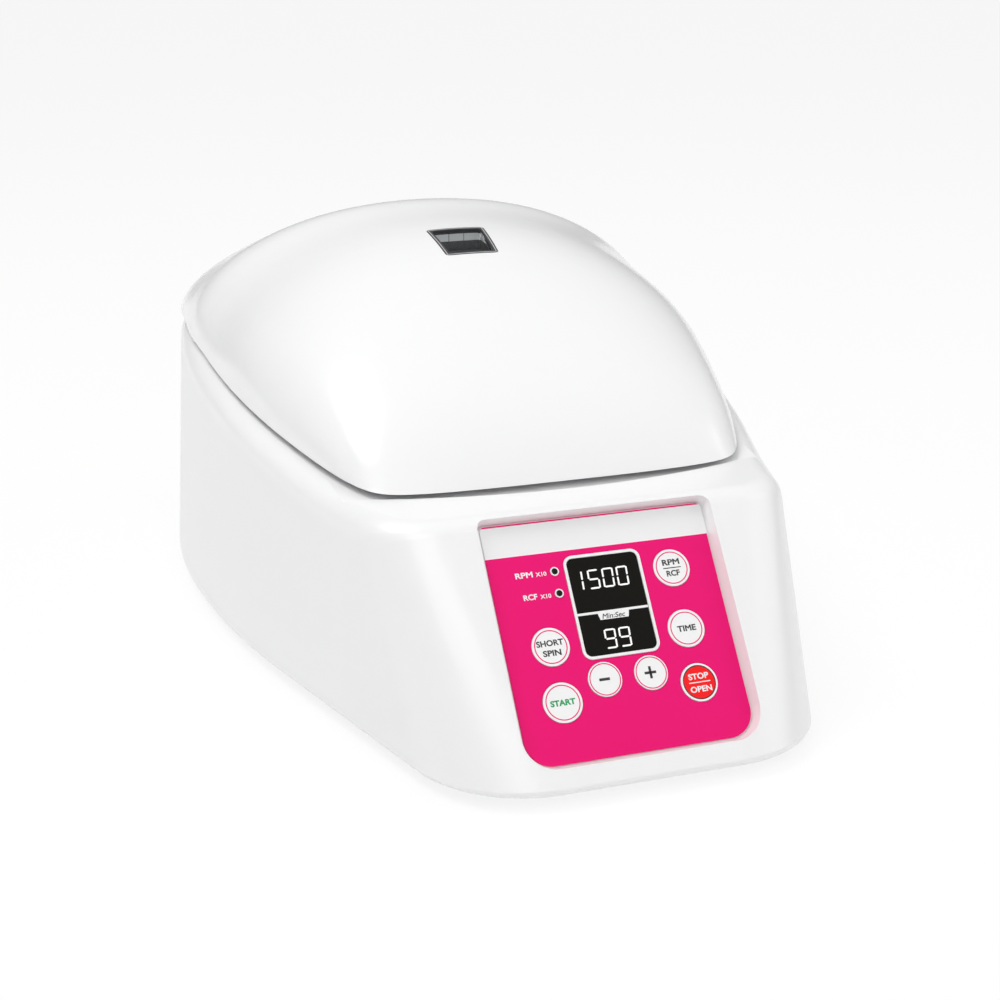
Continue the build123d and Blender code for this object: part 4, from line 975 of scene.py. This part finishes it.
@dataclass
class Keypad:
    """Sloping keypad with printed film, keys, lamps and a digital display."""

    key_face: float = 0.19
    film_face: float = -0.01
    lines: tuple[Words, ...] = (
        Words("RPM", -28.5, -22.9, 20.05, 21.85, SEMIBOLD),
        Words("X10", -22.0, -18.5, 20.05, 21.4, 0.022),
        Words("RCF", -27.35, -22.9, 13.0, 14.8, SEMIBOLD),
        Words("X10", -22.0, -18.5, 13.0, 14.35, 0.022),
    )
    lamp_places: tuple[Point, ...] = ((-15.85, 21.0), (-15.85, 14.0))
    key_words: dict[str, tuple[Words, ...]] = field(default_factory=lambda: {
        "start_key": (Words("START", -26.2, -18.25, -20.25, -18.35, BOLD),),
        "stop_key": (
            Words("STOP", 19.0, 25.6, -18.35, -16.45, SEMIBOLD),
            Words("OPEN", 18.75, 25.85, -22.35, -20.45, SEMIBOLD),
        ),
        "short_spin_key": (
            Words("SHORT", -26.6, -18.0, -1.85, 0.05),
            Words("SPIN", -25.1, -19.3, -4.95, -3.05),
        ),
        "time_key": (Words("TIME", 19.2, 25.35, -3.05, -1.15),),
        "speed_key": (
            Words("RPM", 19.35, 25.1, 18.4, 20.3),
            Words("RCF", 20.05, 24.5, 14.8, 16.7),
        ),
    })
    key_bars: dict[str, tuple[tuple[float, float, float, float], ...]] = field(default_factory=lambda: {
        "stop_key": ((18.8, 25.8, -19.42, -19.12),),
        "speed_key": ((19.3, 25.25, 17.33, 17.63),),
        "minus_key": ((-9.4, -6.0, -14.6, -13.75),),
        "plus_key": ((5.35, 9.1, -14.55, -13.75), (6.85, 7.65, -16.0, -12.2)),
    })

    def dress(self) -> None:
        """Finishes the film, keys, lamps and boards."""
        dress(PrintedLabel("keypad_film").build(), "control_label")
        keys = (
            PrintedKey("start_print", (-22.2, -19.3), 5.08, 5.44),
            PrintedKey("stop_print", (22.2, -19.3), 5.0, 5.35, RED_INK, DARK_INK),
            PrintedKey("short_spin_print", (-22.2, -2.1), 4.88, 5.24),
            PrintedKey("time_print", (22.2, -2.1), 4.88, 5.24),
            PrintedKey("speed_print", (22.2, 17.5), 4.88, 5.24),
            PrintedKey("minus_print", (-7.5, -14.2), 4.65, 5.0),
            PrintedKey("plus_print", (7.5, -14.2), 4.65, 5.0),
        )
        for key in keys:
            dress(key.build(), key.name.replace("_print", "_key"))
        dress(LampCap("lamp_cap").build(), "status_lamps")
        dress(CircuitBoard("board_lacquer").build(), "display_board", "main_board")
        dress(Plastic("switch_black", (0.02, 0.02, 0.02), 0.45).build(), "key_switches", "display_module")

    def build(self) -> None:
        """Adds the lettering, the bars and the lamps' collars."""
        white = Ink("white_ink", WHITE_INK).build()
        dark = Ink("dark_ink", DARK_INK).build()
        green = Ink("green_ink", GREEN_INK).build()
        captions = [line.mesh(self.film_face) for line in self.lines]
        report(joined("keypad_captions", captions, white), "base")
        collars = [
            ring_mesh(1.0, 1.38, -0.15, 0.30, PANEL_PLACE @ Matrix.Translation((x * MM, y * MM, 0.0)))
            for x, y in self.lamp_places
        ]
        report(joined("lamp_collars", collars, Ink("collar_white", WHITE_INK).build()), "base")
        inks = {"start_key": green, "stop_key": white}
        for key in sorted(set(self.key_words) | set(self.key_bars)):
            parts = [line.mesh(self.key_face) for line in self.key_words.get(key, ())]
            for left, right, low, high in self.key_bars.get(key, ()):
                corners = [(left, low), (right, low), (right, high), (left, high)]
                parts.append(prism(corners, self.key_face, self.key_face + 0.04))
            report(joined(key.replace("_key", "_lettering"), parts, inks.get(key, dark)), key)


@dataclass
class Display:
    """Digital display: dark window, white frame, divider and lit digits."""

    face: float = -0.1
    digit_width: float = 3.75
    digit_height: float = 6.2
    bar: float = 0.54
    lean: float = 3.0
    one_shift: float = 2.55
    upper: str = "1500"
    lower: str = "99"
    upper_place: Point = (-10.55, 14.0)
    lower_place: Point = (-4.75, -5.1)
    pitch: float = 4.72

    SEGMENTS = {"0": "abcdef", "1": "ef", "5": "acdfg", "9": "abcdfg"}

    def dress(self) -> None:
        """Finishes the carried-over display pieces."""
        dress(Plastic("frame_white", (0.88, 0.88, 0.88), 0.33, Grain.POLISHED).build(), "display_bezel")
        dress(Plastic("display_filter", (0.008, 0.0075, 0.006), 0.2, Grain.POLISHED, gloss=0.12).build(), "display_window")

    def segment(self, name: str) -> list[Point]:
        """Outlines one segment of a digit, in millimetres from the digit's lower left corner.

        Args:
            name: Its usual letter, a to g.

        Returns:
            The corner points.
        """
        w, h, t = self.digit_width, self.digit_height, self.bar
        gap, half = 0.08, h / 2
        flat = {"a": h - t / 2, "d": t / 2, "g": half}
        if name in flat:
            y = flat[name]
            return [(t / 2 + gap, y), (t + gap, y - t / 2), (w - t - gap, y - t / 2), (w - t / 2 - gap, y),
                    (w - t - gap, y + t / 2), (t + gap, y + t / 2)]
        x = w - t / 2 if name in "bc" else t / 2
        low, high = (half, h) if name in "bf" else (0.0, half)
        return [(x, low + gap + t / 2 * 0.4), (x + t / 2, low + t / 2 + gap), (x + t / 2, high - t / 2 - gap),
                (x, high - gap - t / 2 * 0.4), (x - t / 2, high - t / 2 - gap), (x - t / 2, low + t / 2 + gap)]

    def number(self, text: str, place: Point) -> list[bpy.types.Mesh]:
        """Makes the lit segments of one number."""
        slant = math.tan(math.radians(self.lean))
        meshes = []
        for index, digit in enumerate(text):
            start = place[0] + index * self.pitch
            if digit == "1":
                start += self.one_shift
            for name in self.SEGMENTS[digit]:
                outline = [(start + x + y * slant, place[1] + y) for x, y in self.segment(name)]
                meshes.append(prism(outline, self.face - 0.01, self.face + 0.03))
        return meshes

    def build(self) -> None:
        """Adds the digits, the divider and its caption."""
        lit = LitSegment("lit_segments").build()
        digits = self.number(self.upper, self.upper_place) + self.number(self.lower, self.lower_place)
        report(joined("display_digits", digits, lit), "base")
        white = Ink("divider_ink", WHITE_INK).build()
        strip = prism([(-11.6, 6.15), (-5.1, 6.15), (-4.6, 4.1), (4.65, 4.1), (5.15, 6.15), (11.6, 6.15),
                       (11.6, 6.9), (-11.6, 6.9)], self.face - 0.01, self.face + 0.03)
        report(joined("display_divider", [strip], white), "base")
        caption = Words("Min:Sec", -3.9, 3.7, 4.35, 5.95, 0.012, 0.25).mesh(self.face + 0.02, 0.03)
        report(joined("display_caption", [caption], Ink("caption_ink", DARK_INK).build()), "base")


@dataclass
class RotorSet:
    """Rotor, its nut and the motor that turns them."""

    axis_y: float = 35.0
    nut_radius: float = 11.5
    nut_low: float = 70.6
    nut_high: float = 83.6
    rib_count: int = 30
    rib_radius: float = 0.42
    tube_count: int = 12
    rim_top: float = 90.0
    rim_middle: float = 45.6
    number_height: float = 2.2

    def dress(self) -> None:
        """Finishes the rotor, bowl and motor."""
        centre = (0.0, self.axis_y * MM, 0.0)
        dress(Metal("rotor_anodised", (0.26, 0.27, 0.29), 0.36, Lay.ROUND_Z, 1100.0, centre).build(), "rotor")
        dress(Metal("bowl_stainless", (0.62, 0.62, 0.63), 0.26, Lay.ROUND_Z, 700.0, centre).build(), "rotor_bowl")
        dress(Metal("shaft_ground", (0.70, 0.70, 0.71), 0.18, Lay.ROUND_Z, 900.0, centre).build(), "motor_shaft",
              "motor_bearings")
        dress(Plastic("nut_black", (0.02, 0.02, 0.021), 0.4).build(), "rotor_nut")
        dress(Rubber("seal_rubber").build(), "bowl_seal", "motor_dampers")
        dress(Plastic("motor_enamel", (0.025, 0.025, 0.027), 0.35).build(), "motor_can", "latch_solenoid")
        dress(Metal("mount_plate", (0.68, 0.68, 0.69), 0.38, Lay.ALONG_X).build(), "motor_mount")
        dress(Metal("post_turned", (0.68, 0.68, 0.69), 0.3).build(), "motor_posts")

    def build(self) -> None:
        """Adds the grip ribs round the nut and the numbers beside the tube holes."""
        rib = revolved([(0.05, 0.0), (self.rib_radius, 0.5), (self.rib_radius, self.nut_high - self.nut_low - 0.5),
                        (0.05, self.nut_high - self.nut_low)], 10)
        smooth(rib, 40.0)
        places = []
        for index in range(self.rib_count):
            turn = 2 * math.pi * (index + 0.5) / self.rib_count
            if abs(math.remainder(turn, 2 * math.pi / 10)) < 0.18:
                continue
            places.append(Matrix.Translation((
                self.nut_radius * math.cos(turn) * MM,
                (self.axis_y + self.nut_radius * math.sin(turn)) * MM,
                self.nut_low * MM,
            )))
        nut = Plastic("rib_black", (0.02, 0.02, 0.021), 0.4).build()
        report(Repeat("grip_ribs", nut).run("nut_ribs", rib, places), "rotor")
        numbers = []
        for index in range(self.tube_count):
            turn = 2 * math.pi * index / self.tube_count
            place = Matrix.Translation((0.0, self.axis_y * MM, 0.0)) @ Matrix.Rotation(turn, 4, "Z")
            place = place @ Matrix.Translation((self.rim_middle * MM, 0.0, self.rim_top * MM))
            place = place @ Matrix.Rotation(-math.pi / 2, 4, "Z")
            half = self.number_height * 0.32 * len(str(index + 1))
            words = Words(str(index + 1), -half, half, -self.number_height / 2, self.number_height / 2)
            numbers.append(words.mesh(-0.01, 0.03, place))
        engraved = Ink("engraved_fill", WHITE_INK).build()
        report(joined("rotor_numbers", numbers, engraved), "rotor")


@dataclass
class RearPanel:
    """Mains inlet and rocker switch at the back."""

    pivot: tuple[float, float, float] = (-14.0, 141.7, 34.0)
    tilt: float = 8.0
    facet_rise: float = 1.4
    facet_length: float = 7.5
    facet_middle: float = 3.3

    def dress(self) -> None:
        """Finishes the inlet, its pins and the switch."""
        dress(Plastic("inlet_black", (0.022, 0.022, 0.022), 0.42).build(), "power_inlet", "switch_frame")
        dress(Metal("pin_plated", (0.72, 0.60, 0.34), 0.25, Lay.ALONG_Z).build(), "inlet_pins")
        dress(Plastic("rocker_gloss", (0.018, 0.018, 0.018), 0.22, Grain.POLISHED).build(), "power_rocker")

    def facet(self, side: int) -> Matrix:
        """Finds the plane of the rocker's upper or lower half, seen from behind.

        Args:
            side: 1 for the upper half, -1 for the lower.

        Returns:
            A matrix from that plane to the frame.
        """
        along = Vector((0.0, side * self.facet_rise, self.facet_length)).normalized()
        right = Vector((-1.0, 0.0, 0.0))
        columns = Matrix((right, along, right.cross(along))).transposed().to_4x4()
        middle = Matrix.Translation((0.0, self.facet_middle * MM, side * self.facet_length / 2 * MM))
        pivot = Matrix.Translation(Vector(self.pivot) * MM)
        return pivot @ Matrix.Rotation(math.radians(self.tilt), 4, "X") @ middle @ columns

    def build(self) -> None:
        """Adds the on and off marks to the rocker."""
        bar = prism([(-0.35, -1.6), (0.35, -1.6), (0.35, 1.6), (-0.35, 1.6)], -0.01, 0.03, self.facet(1))
        ring = ring_mesh(1.15, 1.75, -0.01, 0.03, self.facet(-1))
        marks = Ink("switch_marks", WHITE_INK).build()
        report(joined("switch_marks", [bar, ring], marks), "rocker")


@dataclass
class Electronics:
    """Main board's spacers and large parts, inside the housing."""

    def dress(self) -> None:
        """Finishes the board's parts."""
        dress(Metal("spacer_brass", (0.70, 0.52, 0.22), 0.3).build(), "board_spacers")
        dress(Plastic("capacitor_sleeve", (0.02, 0.02, 0.04), 0.22, Grain.POLISHED).build(), "power_capacitors")
        dress(TapedWinding("winding_tape").build(), "transformer")
        dress(Metal("sink_extruded", (0.66, 0.66, 0.67), 0.38, Lay.ALONG_Z).build(), "heat_sink")


# Studio


@dataclass
class Studio:
    """Pale floor, soft lamps, white surroundings and the camera."""

    floor_size: float = 60.0
    floor_drop: float = 0.00005
    camera_place: tuple[float, float, float] = (-0.1966, -0.5734, 0.2503)
    camera_right: tuple[float, float, float] = (0.9449, -0.3274, 0.0)
    camera_forward: tuple[float, float, float] = (0.3100, 0.8947, -0.3213)
    lens: float = 63.94
    floor_glow: float = 0.86
    horizon: float = 0.22
    zenith: float = 0.60
    key_power: float = 8.0
    front_power: float = 6.1
    side_power: float = 4.0

    def pale_floor(self) -> None:
        """Lays the floor, white to the camera where no shadow falls."""
        form = bmesh.new()
        half = self.floor_size / 2
        corners = [form.verts.new((x, y, -self.floor_drop)) for x, y in ((-half, -half), (half, -half), (half, half), (-half, half))]
        form.faces.new(corners)
        mesh = bpy.data.meshes.new("floor")
        form.to_mesh(mesh)
        form.free()
        tree = Tree("floor_paper")
        mottle = tree.noise(tree.coordinates, 3.0, 2.0)
        tree.base(tree.blend(mottle, (0.93, 0.93, 0.93), (0.95, 0.95, 0.95)))
        tree.rough(tree.ramp(mottle, 0.3, 0.7, 0.85, 0.95))
        paths = tree.add("ShaderNodeLightPath")
        seen = tree.maths("MAXIMUM", paths.outputs["Is Camera Ray"], paths.outputs["Is Glossy Ray"])
        seen = tree.maths("MAXIMUM", seen, paths.outputs["Is Transmission Ray"])
        share = tree.maths("MULTIPLY", seen, self.floor_glow)
        light = tree.add("ShaderNodeEmission")
        light.inputs["Strength"].default_value = 1.0
        mix = tree.add("ShaderNodeMixShader")
        tree.link(share, mix.inputs[0])
        tree.link(tree.shader.outputs["BSDF"], mix.inputs[1])
        tree.link(light.outputs["Emission"], mix.inputs[2])
        tree.link(mix.outputs[0], tree.output.inputs["Surface"])
        add_object("floor", mesh, tree.material)

    def world(self) -> None:
        """Sets white surroundings, brighter overhead and plain white where the camera sees them."""
        world = bpy.data.worlds.new("studio")
        bpy.context.scene.world = world
        world.use_nodes = True
        nodes = world.node_tree.nodes
        nodes.clear()
        link = world.node_tree.links.new
        paths = nodes.new("ShaderNodeLightPath")
        seen = nodes.new("ShaderNodeMath")
        seen.operation = "MAXIMUM"
        link(paths.outputs["Is Camera Ray"], seen.inputs[0])
        link(paths.outputs["Is Transmission Ray"], seen.inputs[1])
        toward = nodes.new("ShaderNodeTexCoord")
        parts = nodes.new("ShaderNodeSeparateXYZ")
        link(toward.outputs["Generated"], parts.inputs[0])
        rise = nodes.new("ShaderNodeMapRange")
        link(parts.outputs["Z"], rise.inputs["Value"])
        for key, number in (("From Min", 0.0), ("From Max", 1.0), ("To Min", self.horizon), ("To Max", self.zenith)):
            rise.inputs[key].default_value = number
        soft = nodes.new("ShaderNodeBackground")
        soft.inputs["Color"].default_value = (1.0, 1.0, 1.0, 1.0)
        link(rise.outputs["Result"], soft.inputs["Strength"])
        plain = nodes.new("ShaderNodeBackground")
        plain.inputs["Color"].default_value = (1.0, 1.0, 1.0, 1.0)
        plain.inputs["Strength"].default_value = 1.0
        mix = nodes.new("ShaderNodeMixShader")
        link(seen.outputs[0], mix.inputs[0])
        link(soft.outputs[0], mix.inputs[1])
        link(plain.outputs[0], mix.inputs[2])
        out = nodes.new("ShaderNodeOutputWorld")
        link(mix.outputs[0], out.inputs["Surface"])

    def lamp(self, name: str, place: tuple[float, float, float], size: float, power: float) -> None:
        """Hangs one soft square lamp, pointed at the machine.

        Args:
            name: The lamp's name.
            place: Where it hangs, in metres.
            size: Side of the square.
            power: Its power in watts.
        """
        data = bpy.data.lights.new(name, "AREA")
        data.shape = "SQUARE"
        data.size = size
        data.energy = power
        lamp = bpy.data.objects.new(name, data)
        bpy.context.scene.collection.objects.link(lamp)
        lamp.location = place
        lamp.rotation_euler = (Vector(place) - Vector((0.0, 0.0, 0.07))).to_track_quat("Z", "Y").to_euler()

    def camera(self) -> None:
        """Stands the camera where the photograph was taken from."""
        data = bpy.data.cameras.new("camera")
        data.sensor_width = 36.0
        data.sensor_fit = "HORIZONTAL"
        data.lens = self.lens
        data.clip_start = 0.01
        camera = bpy.data.objects.new("camera", data)
        bpy.context.scene.collection.objects.link(camera)
        right = Vector(self.camera_right).normalized()
        forward = Vector(self.camera_forward).normalized()
        up = right.cross(forward)
        turn = Matrix((right, up, -forward)).transposed().to_4x4()
        camera.matrix_world = Matrix.Translation(Vector(self.camera_place)) @ turn
        bpy.context.scene.camera = camera

    def build(self) -> None:
        """Sets up floor, light and camera."""
        self.pale_floor()
        self.world()
        self.lamp("key_lamp", (-0.55, 0.15, 1.35), 0.6, self.key_power)
        self.lamp("front_lamp", (-0.4, -0.95, 1.2), 0.9, self.front_power)
        self.lamp("side_lamp", (1.2, -0.45, 0.75), 0.9, self.side_power)
        self.camera()
        bpy.context.scene.view_settings.view_transform = "Standard"


def main() -> None:
    """Builds the looks in order and reports each piece."""
    logging.basicConfig(level=logging.INFO, format="%(name)s: %(message)s")
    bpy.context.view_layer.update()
    Studio().build()
    for part in (Housing(), Lid(), Keypad(), Display(), RotorSet(), RearPanel(), Electronics()):
        part.dress()
        if hasattr(part, "build"):
            part.build()


if __name__ == "__main__":
    main()
